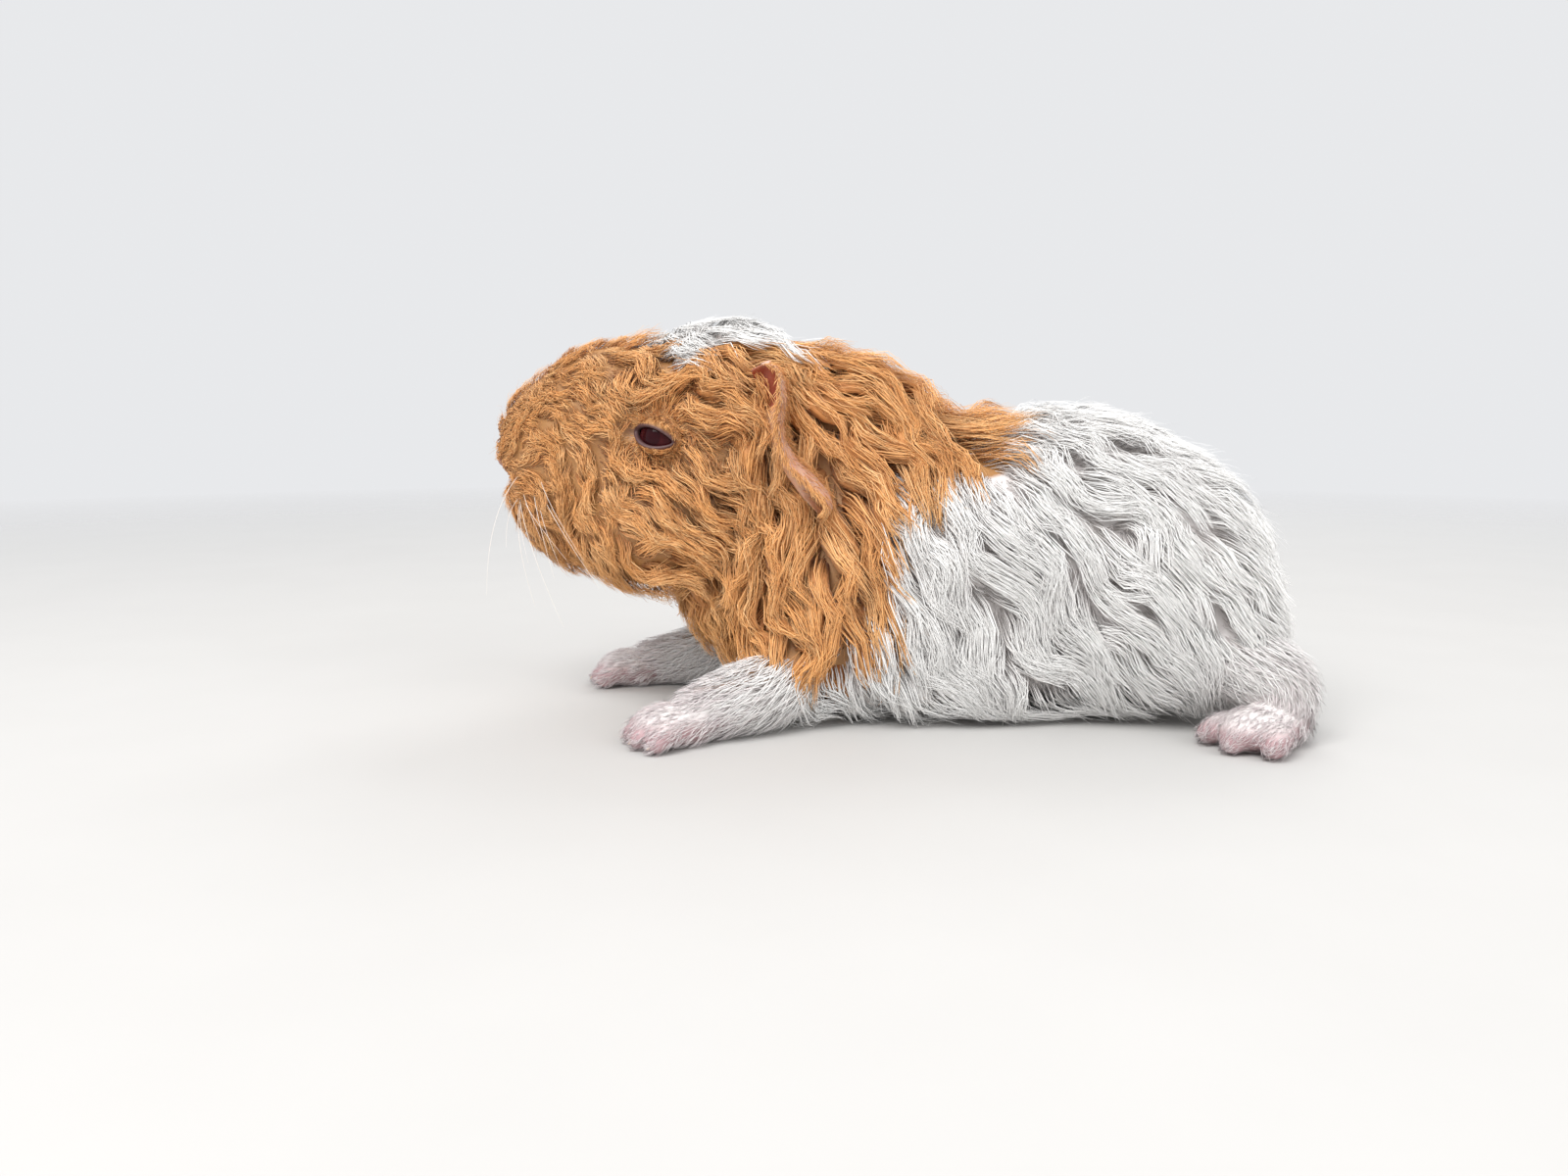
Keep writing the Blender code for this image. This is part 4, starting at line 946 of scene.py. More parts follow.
def body_tufts():
    """Every tuft of head, neck and trunk, and the wide locks below them."""
    sizes = coat_sizes()
    draw = np.random.default_rng(SEEDS["coat"])
    points, faces = body_surface()
    middles = points[faces].mean(1)
    downward = slope_at(middles)[1][:, 2] < -0.8
    weights = at_body(middles, TUFT_DENSITY) * np.where(downward, BELLY_DENSITY, 1.0)
    seeds, _ = scatter(points, faces, 1 / at_body(middles, CLUMP_RADIUS) ** 2, GUIDE_TRIES, draw)
    guides = seeds[spread_out(seeds, at_body(seeds, CLUMP_RADIUS) * draw.uniform(0.7, 1.3, len(seeds)))]
    path, outs, ways, lengths, waves, phases = comb(guides, draw)
    roots, _ = scatter(points, faces, weights, sizes.tufts, draw)
    apart, opening = near_eye(roots)
    pad = np.linalg.norm((roots - NOSE_PAD) / NOSE_BARE, axis=1)
    roots = roots[((opening > OPENING_EDGE) | (apart > EYE_NEAR)) & (apart > EYE_BARE) & (pad > 1)]
    tree = kdtree.KDTree(len(guides))
    for k, place in enumerate(guides):
        tree.insert(place, k)
    tree.balance()
    own = np.array([tree.find(place)[1] for place in roots])
    count = len(roots)
    # Where each tuft's points lie along its guide, and beside and behind it.
    stations = TUFT_STATIONS[:, None]
    share = draw.uniform(0.68, 1.0, count)
    places = stations * share[None, :] * (GUIDE_STEPS - 1)
    centre = follow(path[:, own], places)
    out = unit(follow(outs[:, own], places))
    way = unit(follow(ways[:, own], places))
    across = np.cross(out, way)
    offset = roots - guides[own]
    beside = (offset * across[0]).sum(1)
    behind = (offset * way[0]).sum(1)
    # How far it draws to its guide, strays from it and curls.
    calm = 1 - WHITE_CALM * white_share(roots)
    stray = draw.random(count) < STRAYS
    gather = np.where(stray, -0.3, sizes.gather * calm * at_body(roots, GATHER))
    gather = gather * draw.uniform(0.6, 1.2, count)
    hold = 1 - gather[None, :] * ease(stations / 0.85)
    frizz = draw.normal(0, 1, (2, count)) * (0.25 + 0.75 * calm) * at_body(roots, FRIZZ)
    frizz = frizz * np.where(stray, 1.6, 1.0)
    turns = draw.uniform(0, 2 * math.pi, (2, count))
    sway = np.sin(turns[:, None] + stations * draw.uniform(3, 8, (2, 1, count))) * stations
    spread = beside[None, :] * hold + frizz[0] * sway[0]
    tufts = centre + across * spread[..., None] + way * (behind[None, :] * (0.4 + 0.6 * hold))[..., None]
    # How high it lies, from below the skin to the coat's outline.
    depth = skin_depth(roots)
    edge = np.clip(np.abs(beside) / at_body(roots, CLUMP_RADIUS), 0, 1.2)
    layer = draw.random(count) ** 1.6
    top = -0.12 - depth * calm * (LAYER_DROP * layer + EDGE_DROP * edge**2)
    swell = SWELL * calm * depth * swell_at(places, phases[own], (lengths / waves)[own])
    rise = ease(stations / np.interp(lengths[own], (3, 18), (0.75, 0.42))[None, :])
    start = -depth - 0.35 + 0.8 * np.clip(stations / TUFT_STATIONS[1], 0, 1)
    level = start + (top - start) * rise + swell * rise
    loft = sizes.loft / MM * at_body(roots, LOFT) * draw.uniform(0.0, 1.0, count) ** 2
    loft = loft * np.where(stray, 2.2, 1.0)
    level += (calm * at_body(roots, LUMPS) * ripple(roots, *LUMP))[None, :] * rise
    level = np.maximum(level, start)
    level -= NOTCH_DEPTH * np.exp(-(((tufts - NOSE_NOTCH) / NOTCH_SIZE) ** 2).sum(2))
    level += loft * ease((stations - 0.5) / 0.5) + 0.45 * frizz[1] * sway[1] * rise
    tufts, out = settled(tufts, level, 0.15)
    under = under_locks(guides, path, phases, lengths, waves, draw)
    width = at_body(roots, TUFT_WIDTH) * np.where(stray, 0.5, 1.0)
    width = width * draw.uniform(0.75, 1.25, count) * sizes.width
    marking = (white_share(tufts[MARKING_STATION]) > draw.uniform(0.25, 0.75, count)).astype(float)
    tint = np.clip(0.5 + 0.2 * ripple(guides, *LOCK_TINT)[own] + draw.normal(0, 0.24, count), 0, 1)
    # Deep sets painted shade: tufts low in their lock or at its edge are painted darker.
    made = framed(tufts, out) | {
        "width": width, "white": marking, "tint": tint, "deep": np.clip(layer * 0.7 + edge * 0.35, 0, 1),
        "place": unwrap(roots), "root": roots,
    }
    return part_of(made, clear_of_ears(tufts) & clear_of_eyes(tufts)), under


def under_locks(guides, path, phases, lengths, waves, draw):
    """The full body of each golden lock, which lies below its tufts and is painted darker as shade."""
    count = len(guides)
    stations = UNDER_STATIONS[:, None]
    places = np.tile(stations * 0.9 * (GUIDE_STEPS - 1), (1, count))
    depth = skin_depth(guides)
    rise = ease(stations / np.interp(lengths, (3, 18), (0.6, 0.35))[None, :])
    swell = SWELL * depth * swell_at(places, phases, lengths / waves)
    level = -depth - 0.5 + (0.5 + depth * at_body(guides, UNDER_LEVEL)) * rise + swell * rise
    level += (at_body(guides, LUMPS) * ripple(guides, *LUMP))[None, :] * rise
    at, out = settled(follow(path, places), level, 0.3)
    apart, _ = near_eye(guides)
    keep = clear_of_ears(at) & clear_of_eyes(at) & (apart > 6.5)
    keep &= (guides[:, 0] > UNDER_FROM) & (guides[:, 0] < UNDER_TO)
    tint = np.clip(0.4 + 0.22 * ripple(guides, *LOCK_TINT) + draw.normal(0, 0.08, count), 0, 1)
    made = framed(at, out) | {
        "width": at_body(guides, CLUMP_RADIUS) * 1.3,
        "white": (white_share(at[MARKING_STATION]) > 0.5).astype(float),
        "tint": tint, "deep": np.full(count, 0.8), "place": unwrap(guides), "root": guides,
    }
    return part_of(made, keep)


def clear_of_ears(tufts):
    """Which tufts stay off the ears' sheets."""
    a, b = np.meshgrid(np.linspace(0.03, 1, 14), np.linspace(0.3, 1, 5))
    places = np.vstack([ear_points(a.ravel(), b.ravel(), side) for side in SIDES.values()])
    near = np.zeros(tufts.shape[1], bool)
    low, high = places.min(0) - 2, places.max(0) + 2
    for station in tufts:
        inside = np.nonzero(((station > low) & (station < high)).all(1))[0]
        for part in np.array_split(inside, max(len(inside) // 4000, 1)):
            apart = np.linalg.norm(station[part][:, None] - places[None], axis=2).min(1)
            near[part[apart < 1.0]] = True
    return ~near


def clear_of_eyes(tufts):
    """Which tufts stay out of the opening between the lids."""
    clear = np.ones(tufts.shape[1], bool)
    for station in tufts:
        apart, opening = near_eye(station)
        clear &= ~((apart < 8.0) & (opening < 1.0))
    return clear


def taper(stations):
    share = np.linspace(0, 1, stations)
    return np.interp(share, (0, 0.2, 0.6, 1), (0.75, 1.0, 0.8, 0.0))


def tuft_piece(name, tufts, section=TUFT_SECTION):
    """Many tufts as one mesh: each has a few sides, a root face, a tip and its own patch of the unwrap."""
    at, across, out = tufts["at"], tufts["across"], tufts["out"]
    stations, count = at.shape[:2]
    sides = len(section)
    wide = tufts["width"][None, :, None] / 2 * taper(stations)[:, None, None]
    thick = wide * 0.5 if sides == 3 else wide * 0.45
    rings = np.stack([at + across * wide * a + out * thick * b for a, b in section], axis=2)[:-1]
    rings = rings.transpose(1, 0, 2, 3).reshape(count, -1, 3)
    points = np.concatenate([rings, at[-1][:, None]], axis=1)
    each = points.shape[1]
    pattern = [(sides - 1, k, k - 1) for k in range(sides - 2, 0, -1)]
    for k in range(stations - 2):
        for side in range(sides):
            a, b = sides * k + side, sides * k + (side + 1) % sides
            pattern += [(a, b, b + sides), (a, b + sides, a + sides)]
    last = sides * (stations - 2)
    pattern += [(last + side, last + (side + 1) % sides, each - 1) for side in range(sides)]
    if sides > 3:
        pattern = [face[::-1] for face in pattern]
    faces = (np.arange(count)[:, None, None] * each + np.array(pattern)[None]).reshape(-1, 3)
    mesh = bpy.data.meshes.new(name)
    mesh.vertices.add(count * each)
    mesh.vertices.foreach_set("co", ((points.reshape(-1, 3) + SHIFT) * MM).astype(np.float32).ravel())
    mesh.loops.add(faces.size)
    mesh.loops.foreach_set("vertex_index", faces.ravel().astype(np.int32))
    mesh.polygons.add(len(faces))
    mesh.polygons.foreach_set("loop_start", np.arange(0, faces.size, 3, dtype=np.int32))
    mesh.update(calc_edges=True)
    own = np.empty(count * each * 3, np.float32)
    mesh.vertex_normals.foreach_get("vector", own)
    facing = np.concatenate([np.repeat(out[:-1].transpose(1, 0, 2), sides, axis=1), out[-1][:, None]], axis=1)
    soft = WHITE_SOFT * np.repeat(tufts["white"], each)[:, None]
    facing = unit(own.reshape(-1, 3) * (1 - soft) + facing.reshape(-1, 3) * soft)
    mesh.normals_split_custom_set_from_vertices(facing)
    obj = bpy.data.objects.new(name, mesh)
    bpy.context.scene.collection.objects.link(obj)
    along = np.append(np.repeat(np.linspace(0, 1, stations)[:-1], sides), 1.0)
    set_values(obj, "along", np.tile(along, count))
    for key in ("white", "tint", "deep"):
        set_values(obj, key, np.repeat(tufts[key], each))
    place = tufts["place"]
    low, high = place.min(0), place.max(0)
    place = 0.01 + (place - low) / np.maximum(high - low, 1e-6) * (0.98 - PATCH)
    across_share = np.append(np.tile([a for a, _ in section], stations - 1), 0.0)
    # The wide locks get coordinates along and across them for their painted shade streaks.
    if sides > 3:
        grain = obj.data.attributes.new("grain", "FLOAT_VECTOR", "POINT")
        lines = np.stack([
            across_share[None] * tufts["width"][:, None], along[None] * 2.5 + 0 * tufts["width"][:, None],
            np.arange(count)[:, None] * 7.3 + 0 * along[None],
        ], axis=2)
        grain.data.foreach_set("vector", lines.astype(np.float32).ravel())
    beside = (across_share + 1) / 2 * PATCH
    patch = np.stack([place[:, :1] + beside[None], place[:, 1:] + along[None] * PATCH], axis=2).reshape(-1, 2)
    layer = mesh.uv_layers.new(name="OFBake")
    layer.data.foreach_set("uv", patch[faces.ravel()].astype(np.float32).ravel())
    if len(faces) > MOST_TRIANGLES:
        raise RuntimeError(f"{name} has {len(faces)} triangles")
    finish_piece(obj, "coat")


def build_eye_coat():
    """Short hairs on the lids, which lie away from the opening and stop at its rim."""
    draw = np.random.default_rng(SEEDS["lids"])
    points, faces = triangles_of(bpy.data.objects["skin"])
    apart, opening = near_eye(points[faces].mean(1))
    faces = faces[(apart < 8.5) & (opening > 1.2) & (opening < 4.5)]
    roots, chosen = scatter(points, faces, np.ones(len(faces)), LID_HAIRS, draw)
    count = len(roots)
    _, opening = near_eye(roots)
    out = facing_of(points, faces[chosen])
    way = unit(roots - nearer_eye(roots)) * 0.8 + coat_lie(roots, out) * 0.9
    way = way + draw.normal(0, 0.25, roots.shape)
    way = unit(way - out * (way * out).sum(1)[:, None])
    length = np.interp(opening, (1.2, 2.0, 4), (1.0, 2.6, 4.5)) * draw.uniform(0.7, 1.25, count)
    lift = np.interp(opening, (1.2, 2.5), (0.25, 0.8)) * draw.uniform(0.5, 1.3, count)
    tufts = short_tufts(roots, way, out, length, lift, draw)
    # Deep sets how much painted shade each hair gets.
    tufts |= {
        "place": roots[:, [0, 2]] + np.where(roots[:, 1:2] > 0, (20.0, 0.0), 0.0),
        "white": np.zeros(count),
        "width": np.full(count, 0.16) * draw.uniform(0.8, 1.2, count),
        "tint": np.clip(draw.normal(0.55, 0.24, count), 0, 1),
        "deep": np.clip(draw.normal(0.3, 0.15, count), 0, 1),
    }
    tuft_piece("coat_eyelids", part_of(tufts, clear_of_eyes(tufts["at"])))


def triangles_of(obj):
    """The points and triangles of a piece."""
    obj.data.calc_loop_triangles()
    faces = np.empty(len(obj.data.loop_triangles) * 3, np.int32)
    obj.data.loop_triangles.foreach_get("vertices", faces)
    return coordinates(obj), faces.reshape(-1, 3)


def facing_of(points, faces):
    corners = points[faces]
    return unit(np.cross(corners[:, 1] - corners[:, 0], corners[:, 2] - corners[:, 0]))


def short_tufts(roots, way, out, length, lift, draw, stations=4):
    """Short hairs from the skin: they rise a little, bend to one side and lie down again."""
    beside = np.cross(out, way)
    bend = draw.normal(0, 0.1, len(roots)) * length
    at = np.stack([
        roots + way * (length * share)[:, None] + out * (-0.15 + lift * math.sin(share * 1.9))[:, None]
        + beside * (bend * share**2)[:, None]
        for share in np.linspace(0, 1, stations)
    ])
    at[..., 2] = np.maximum(at[..., 2], 0.1)
    return framed(at, out) | {"root": roots}


def build_body_coat():
    tufts, under = body_tufts()
    tuft_piece("coat_under", under, LOCK_SECTION)
    x, y = tufts["root"][:, 0], tufts["root"][:, 1]
    for name, start, end, side, stations in COAT_REGIONS:
        keep = (x >= start) & (x < end) & ((side == 0) | (y * side >= 0))
        tuft_piece(name, part_of(tufts, keep, stations))
    build_eye_coat()


def limb_axes(points):
    """For each point the nearest limb, the way down it there, and how far along it lies."""
    paths, heads, places, limbs = [], [], [], []
    for k, (joints, kind, turn, side) in enumerate(LIMBS.values()):
        joints = on_side(joints, side)
        path, _ = smooth_path(joints, 6)
        wrist, ahead, _ = paw_frame(joints, turn, side)
        end = wrist + ahead * (kind["palm"][0] + kind["toe_length"]) + (0, 0, 1.0)
        paw = [path[-1] + (end - path[-1]) * s for s in np.linspace(0.15, 1, 8)]
        path = np.vstack([path, paw])
        heads.append(unit(np.gradient(path, axis=0)))
        paths.append(path)
        places.append(np.linspace(0, 1, len(path)))
        limbs.append(np.full(len(path), k))
    paths, heads, places, limbs = (np.concatenate(found) for found in (paths, heads, places, limbs))
    nearest = np.linalg.norm(points[:, None] - paths[None], axis=2).argmin(1)
    return limbs[nearest], heads[nearest], places[nearest], paths[nearest]


def build_leg_coat():
    """Short fur on legs, paws and toes."""
    draw = np.random.default_rng(SEEDS["legs"])
    points, faces = triangles_of(bpy.data.objects["skin"])
    middles = points[faces].mean(1)
    on_limb = (outside_of_skin(middles) > 0.6) & (middles[:, 2] < 24) & (middles[:, 2] > 0.35)
    faces, middles = faces[on_limb], middles[on_limb]
    weights = np.interp(limb_axes(middles)[2], (0.3, 0.6, 0.85, 1), (1.0, 1.1, 1.5, 1.5))
    roots, chosen = scatter(points, faces, weights, coat_sizes().leg_tufts, draw)
    count = len(roots)
    out = facing_of(points, faces[chosen])
    limb, ahead, place, middle = limb_axes(roots)
    ahead = ahead + draw.normal(0, 0.19, ahead.shape) + (0, 0, -0.15)
    way = unit(ahead - out * (ahead * out).sum(1)[:, None])
    length = np.interp(place, (0.25, 0.5, 0.75, 1.0), (7.0, 4.6, 2.5, 1.3)) * draw.uniform(0.7, 1.2, count)
    lift = np.interp(place, (0.25, 0.6, 0.8, 1.0), (1.5, 1.0, 0.5, 0.2)) * draw.uniform(0.5, 1.2, count)
    tufts = short_tufts(roots, way, out, length, lift, draw, 3)
    away = roots - middle
    around = np.arctan2((away * np.cross(out, way)).sum(1), away[:, 2]) / (2 * math.pi) + 0.5
    mauve = np.interp(place, (0.3, 0.55, 0.8, 1), (0.0, -0.35, -0.6, -0.85))
    # Deep sets how much painted shade each hair gets.
    tufts |= {
        "place": np.column_stack([(limb + 0.02 + 0.96 * around) / len(LIMBS), place]),
        "width": np.interp(place, (0.4, 0.75, 1), (0.18, 0.13, 0.09)) * draw.uniform(0.8, 1.2, count),
        "white": np.ones(count),
        "tint": draw.normal(0, 0.2, count) + mauve,
        "deep": np.clip(draw.normal(0.45, 0.2, count), 0, 1),
    }
    for name, front in (("coat_forelegs", True), ("coat_hindlegs", False)):
        tuft_piece(name, part_of(tufts, (roots[:, 0] < 10) == front))


# Ears


def ear_points(a, b, side, lift=0.0):
    """Points of the ear's sheet: a runs down it, b from root to rim, and lift is off its inner side."""
    a, b = np.broadcast_arrays(np.asarray(a, float), np.asarray(b, float))

    def row(table, share):
        return np.stack([np.interp(share, table[:, 0], table[:, k]) for k in (1, 2, 3)], -1)

    root, rim = row(EAR_ROOT, a), row(EAR_RIM, a)
    ahead = sum(row(table, a + 0.08) - row(table, a - 0.08) for table in (EAR_ROOT, EAR_RIM))
    back = unit(np.cross(ahead, rim - root))
    back *= np.sign(back[..., :1])
    belly = EAR_CUP * np.sin(math.pi * np.clip(b, 0, 1)) * (0.75 + 0.45 * np.cos(2 * math.pi * a))
    curl = EAR_CURL * np.clip((b - 0.72) / 0.28, 0, 1.3) ** 2 * np.clip(a / 0.3, 0.3, 1)
    found = root + (rim - root) * b[..., None] + back * (belly - curl - lift)[..., None]
    found[..., 1] -= EAR_HOLLOW * ear_hollow(a, b)
    return found * (1, side, 1)


def ear_hollow(a, b):
    """How deep in the hollow at the ear's top a place of its sheet lies."""
    return np.exp(-(((a - 0.15) / 0.13) ** 4)) * np.clip(1.15 - b / 0.78, 0, 1) ** 0.7


def build_ear(word, side):
    """An ear as a thin sheet with a rounded rim, cupped forwards."""
    columns = EAR_COLUMNS + 1
    shares = np.tile(np.linspace(0, 1, columns), EAR_STEPS + 1)
    downs = np.repeat(np.linspace(0, 1, EAR_STEPS + 1), columns)
    thin = EAR_THICKNESS / 2 * (1 - 0.3 * shares) * np.where(shares == 1, 0.5, 1.0)
    front, back = (ear_points(downs, shares, side, lift) for lift in (thin, -thin))
    count = len(front)
    faces = []
    for i in range(EAR_STEPS):
        for j in range(EAR_COLUMNS):
            a, b = i * columns + j, i * columns + j + 1
            c, d = b + columns, a + columns
            faces += [(a, b, c, d), (count + d, count + c, count + b, count + a)]
    rim = list(range(columns))
    rim += [i * columns + EAR_COLUMNS for i in range(1, EAR_STEPS + 1)]
    rim += [EAR_STEPS * columns + j for j in range(EAR_COLUMNS - 1, -1, -1)]
    rim += [i * columns for i in range(EAR_STEPS - 1, 0, -1)]
    faces += [(a, count + a, count + b, b) for a, b in zip(rim, rim[1:] + rim[:1])]
    ear = new_mesh("ear_sheet_" + word, np.vstack([front, back]), faces)
    set_values(ear, "rim", np.concatenate([shares, shares]))
    set_values(ear, "hollow", np.tile(ear_hollow(downs, shares), 2))
    set_values(ear, "inner", np.concatenate([np.ones(count), np.zeros(count)]))
    apply_modifier(ear, "SMOOTH", factor=0.5, iterations=5)
    finish_piece(ear, "ear_skin", ["ear_" + word])


def build_ear_down():
    """Fine down on both faces of the ears and over their curled rims."""
    draw = np.random.default_rng(SEEDS["ears"])
    count = EAR_DOWN
    roots, outs, places = [], [], []
    for side in SIDES.values():
        a, b = draw.uniform(0.02, 0.98, count), draw.uniform(0, 1, count) ** 0.7
        face = np.where((draw.random(count) < 0.5) | (ear_hollow(a, b) > 0.1), -1.0, 1.0)
        on_rim = draw.random(count) < EAR_DOWN_ON_RIM
        b = np.where(on_rim, draw.uniform(0.94, 1.0, count), b)
        face = np.where(on_rim, draw.uniform(-1, 1, count), face)
        skin = face * EAR_THICKNESS / 2 * (1 - 0.3 * b)
        root = ear_points(a, b, side, skin)
        along = unit(ear_points(a + 0.05, b, side, skin) - root)
        outer = unit(ear_points(a, b + 0.1, side, skin) - root)
        lift = unit(ear_points(a, b, side, np.sign(face) * 1.2) - root)
        lift = np.where(on_rim[:, None], outer, lift)
        way = unit(along * 0.9 + outer * 0.3 + lift * 0.35 + draw.normal(0, 0.2, (count, 3)))
        length = draw.uniform(1.2, 2.6, count) * np.where((face > 0) & ~on_rim, 0.7, 1.0)
        roots.append(np.stack([
            root + way * (length * share)[:, None] + lift * 0.1 * math.sin(3 * share)
            for share in np.linspace(0, 1, 4)
        ]))
        outs.append(lift)
        places.append(np.column_stack([a + (side > 0), b]))
    at = np.concatenate(roots, axis=1)
    count = at.shape[1]
    tufts = framed(at, np.concatenate(outs)) | {
        "root": at[0], "place": np.concatenate(places),
        "width": np.full(count, 0.13), "white": np.zeros(count),
        "tint": np.clip(draw.normal(0.5, 0.2, count), 0, 1), "deep": np.zeros(count),
    }
    tuft_piece("ear_down", tufts)


# Eyes, claws and whiskers


def build_eyes():
    """Eyeballs with a cornea that bulges a little at the opening."""
    radius = face_sizes().eye_radius / MM
    for word, side in SIDES.items():
        axis = eye_axes(side)[0]
        turn = Vector(axis).to_track_quat("Z", "Y").to_euler()
        centre = eye_centre(side)
        eye = ball(64, 40, radius=radius * MM, location=(centre + SHIFT) * MM, rotation=turn)
        eye.name = eye.data.name = "eyeball_" + word
        away = coordinates(eye) - centre
        facing = unit(away) @ axis
        bulge = CORNEA * np.clip((facing - 0.72) / 0.28, 0, 1) ** 2
        set_coordinates(eye, centre + away + axis * bulge[:, None])
        set_values(eye, "facing", facing)
        finish_piece(eye, "eyeball", ["eye_" + word])


def claw_mesh(name, line):
    """One curved claw that tapers from inside the toe to a blunt point."""
    _, _, end, way = line
    start = end - way * 0.7 + (0, 0, 0.3)
    shares = np.linspace(0, 1, 9)
    path = [start + way * 2.35 * s - np.array((0, 0, 0.8 * s**2)) for s in shares]
    radii = 0.6 * (1 - shares**2.2) + 0.13
    return tube(name, path, radii, sides=12, caps=(30, 65))


def build_claws():
    for name, (joints, kind, turn, side) in LIMBS.items():
        lines = toe_lines(kind, *paw_frame(on_side(joints, side), turn, side))
        claws = joined(name.replace("leg", "_claws"), [claw_mesh("claw", line) for line in lines])
        old = name.replace("leg", "claw")
        finish_piece(claws, "claw_horn", [f"{old}_{k + 1}" for k in range(len(lines))])


def build_whiskers():
    """Fine pale whiskers that hang from the muzzle."""
    sizes = face_sizes()
    draw = np.random.default_rng(SEEDS["whiskers"])
    shares = np.linspace(-0.03, 1, 14)
    radii = sizes.whisker_radius / MM * (1.05 - shares.clip(0, 1)) + 0.01
    pieces = []
    for side in SIDES.values():
        for _ in range(sizes.whiskers):
            z = 40.5 - 5.5 * draw.random()
            x = -61 + 6 * draw.random()
            root = cast(np.array([(x, 0.0, z)]), np.array([(-0.25, side, 0.0)]), outside_of_skin)[0]
            length = sizes.whisker_length / MM * draw.uniform(0.5, 1.0)
            way = (draw.uniform(-0.5, 0.5), side * draw.uniform(0.7, 1.1), draw.uniform(-0.9, -0.1))
            way = unit(np.array(way))
            droop = np.array((draw.uniform(0.2, 0.55), 0, -0.5))
            path = np.array([root + way * length * s + droop * length * s * abs(s) * 0.6 for s in shares])
            path[:, 2] = np.maximum(path[:, 2], 0.5)
            pieces.append(tube("whisker", path, radii, sides=6, caps=(45,)))
    finish_piece(joined("whiskers", pieces), "whisker")


# Materials


def material(name):
    """The material of that name, made when it is first asked for."""
    made = bpy.data.materials.get(name)
    if made is None:
        made = bpy.data.materials.new(name)
        made.use_nodes = True
        tree = made.node_tree
        shader = tree.nodes["Principled BSDF"]
        paint, settings = LOOKS[name]
        tree.links.new(paint(tree, shader, colours()), shader.inputs["Base Color"])
        for key, value in settings.items():
            shader.inputs[key].default_value = value
    return made


def value_of(tree, name):
    node = tree.nodes.new("ShaderNodeAttribute")
    node.attribute_name = name
    return node.outputs["Fac"]


def mixed(tree, share, first, second, blend="MIX"):
    """A mix of two colours, each a socket or three numbers."""
    node = tree.nodes.new("ShaderNodeMix")
    node.data_type = "RGBA"
    node.blend_type = blend
    for index, source in ((0, share), (6, first), (7, second)):
        if isinstance(source, bpy.types.NodeSocket):
            tree.links.new(source, node.inputs[index])
        else:
            node.inputs[index].default_value = source if index == 0 else (*source, 1)
    return node.outputs[2]


def mapped(tree, source, low, high, to_low=0.0, to_high=1.0):
    node = tree.nodes.new("ShaderNodeMapRange")
    tree.links.new(source, node.inputs[0])
    for index, value in enumerate((low, high, to_low, to_high), 1):
        node.inputs[index].default_value = value
    return node.outputs[0]


def noise(tree, size, detail=4.0):
    """Mottling over the piece's own coordinates, with lumps of the given size in millimetres."""
    place = tree.nodes.new("ShaderNodeTexCoord")
    node = tree.nodes.new("ShaderNodeTexNoise")
    node.inputs["Scale"].default_value = 1 / (size * MM)
    node.inputs["Detail"].default_value = detail
    tree.links.new(place.outputs["Object"], node.inputs["Vector"])
    return node.outputs["Fac"]


def bumped(tree, shader, height, strength, distance):
    node = tree.nodes.new("ShaderNodeBump")
    node.inputs["Strength"].default_value = strength
    node.inputs["Distance"].default_value = distance * MM
    tree.links.new(height, node.inputs["Height"])
    tree.links.new(node.outputs["Normal"], shader.inputs["Normal"])


def layered(tree, base, *layers):
    """A colour with others over it, each given as a share, how that is mapped and the colour."""
    for share, span, over in layers:
        base = mixed(tree, mapped(tree, share, *span) if span else share, base, over)
    return base


def coat_paint(tree, shader, look):
    # Painted shade: each tuft darkens towards its root, and more as its deep value rises; tint varies the tone
    # at random.
    along, tint, deep = (value_of(tree, name) for name in ("along", "tint", "deep"))
    gold = layered(
        tree, look.gold_shade, (along, (0.0, 0.5), look.gold), (tint, (0.35, 1.0, 0.0, 0.75), look.gold_tip),
        (deep, (0.25, 0.9, 0.0, 0.6), look.gold_shade),
    )
    white = layered(
        tree, look.white_shade, (along, (0.0, 0.35), look.white),
        (deep, (0.3, 1.0, 0.0, 0.4), look.white_shade),
        (tint, (0.0, 0.6, 0.2, 0.0), (0.82, 0.79, 0.77)), (tint, (-1.0, 0.0, 1.0, 0.0), look.paw),
    )
    both = mixed(tree, value_of(tree, "white"), gold, white)
    # Dark streaks along the wide locks are painted shade between their strands, with a bump that follows them.
    strands = tree.nodes.new("ShaderNodeAttribute")
    strands.attribute_name = "grain"
    strand_shade = tree.nodes.new("ShaderNodeTexNoise")
    strand_shade.inputs["Scale"].default_value = 4.0
    strand_shade.inputs["Detail"].default_value = 2.0
    tree.links.new(strands.outputs["Vector"], strand_shade.inputs["Vector"])
    strand_shade = strand_shade.outputs["Fac"]
    bumped(tree, shader, strand_shade, 0.6, 0.15)
    return mixed(tree, mapped(tree, strand_shade, 0.5, 0.68, 0.0, 0.75), both, (0.40, 0.30, 0.24), "MULTIPLY")


def skin_paint(tree, shader, look):
    bumped(tree, shader, noise(tree, 0.5), 0.5, 0.12)
    return layered(
        # The skin under the golden coat is half the coat's gold, painted shade of the fur seen through its
        # gaps.
        tree, tuple(0.5 * c for c in look.gold), (value_of(tree, "white"), (), (0.82, 0.77, 0.75)),
        (noise(tree, 1.2), (0.4, 0.8, 0.0, 0.08), look.pink), (value_of(tree, "bare"), (), look.pink),
        (value_of(tree, "pad"), (), (0.44, 0.22, 0.19)), (value_of(tree, "rim"), (), look.rim),
        # Carved places, such as the mouth line and nostrils, are painted darker as shade.
        (value_of(tree, "recess_shade"), (0.5, 1.4, 0.0, 0.85), (0.12, 0.04, 0.035)),
    )


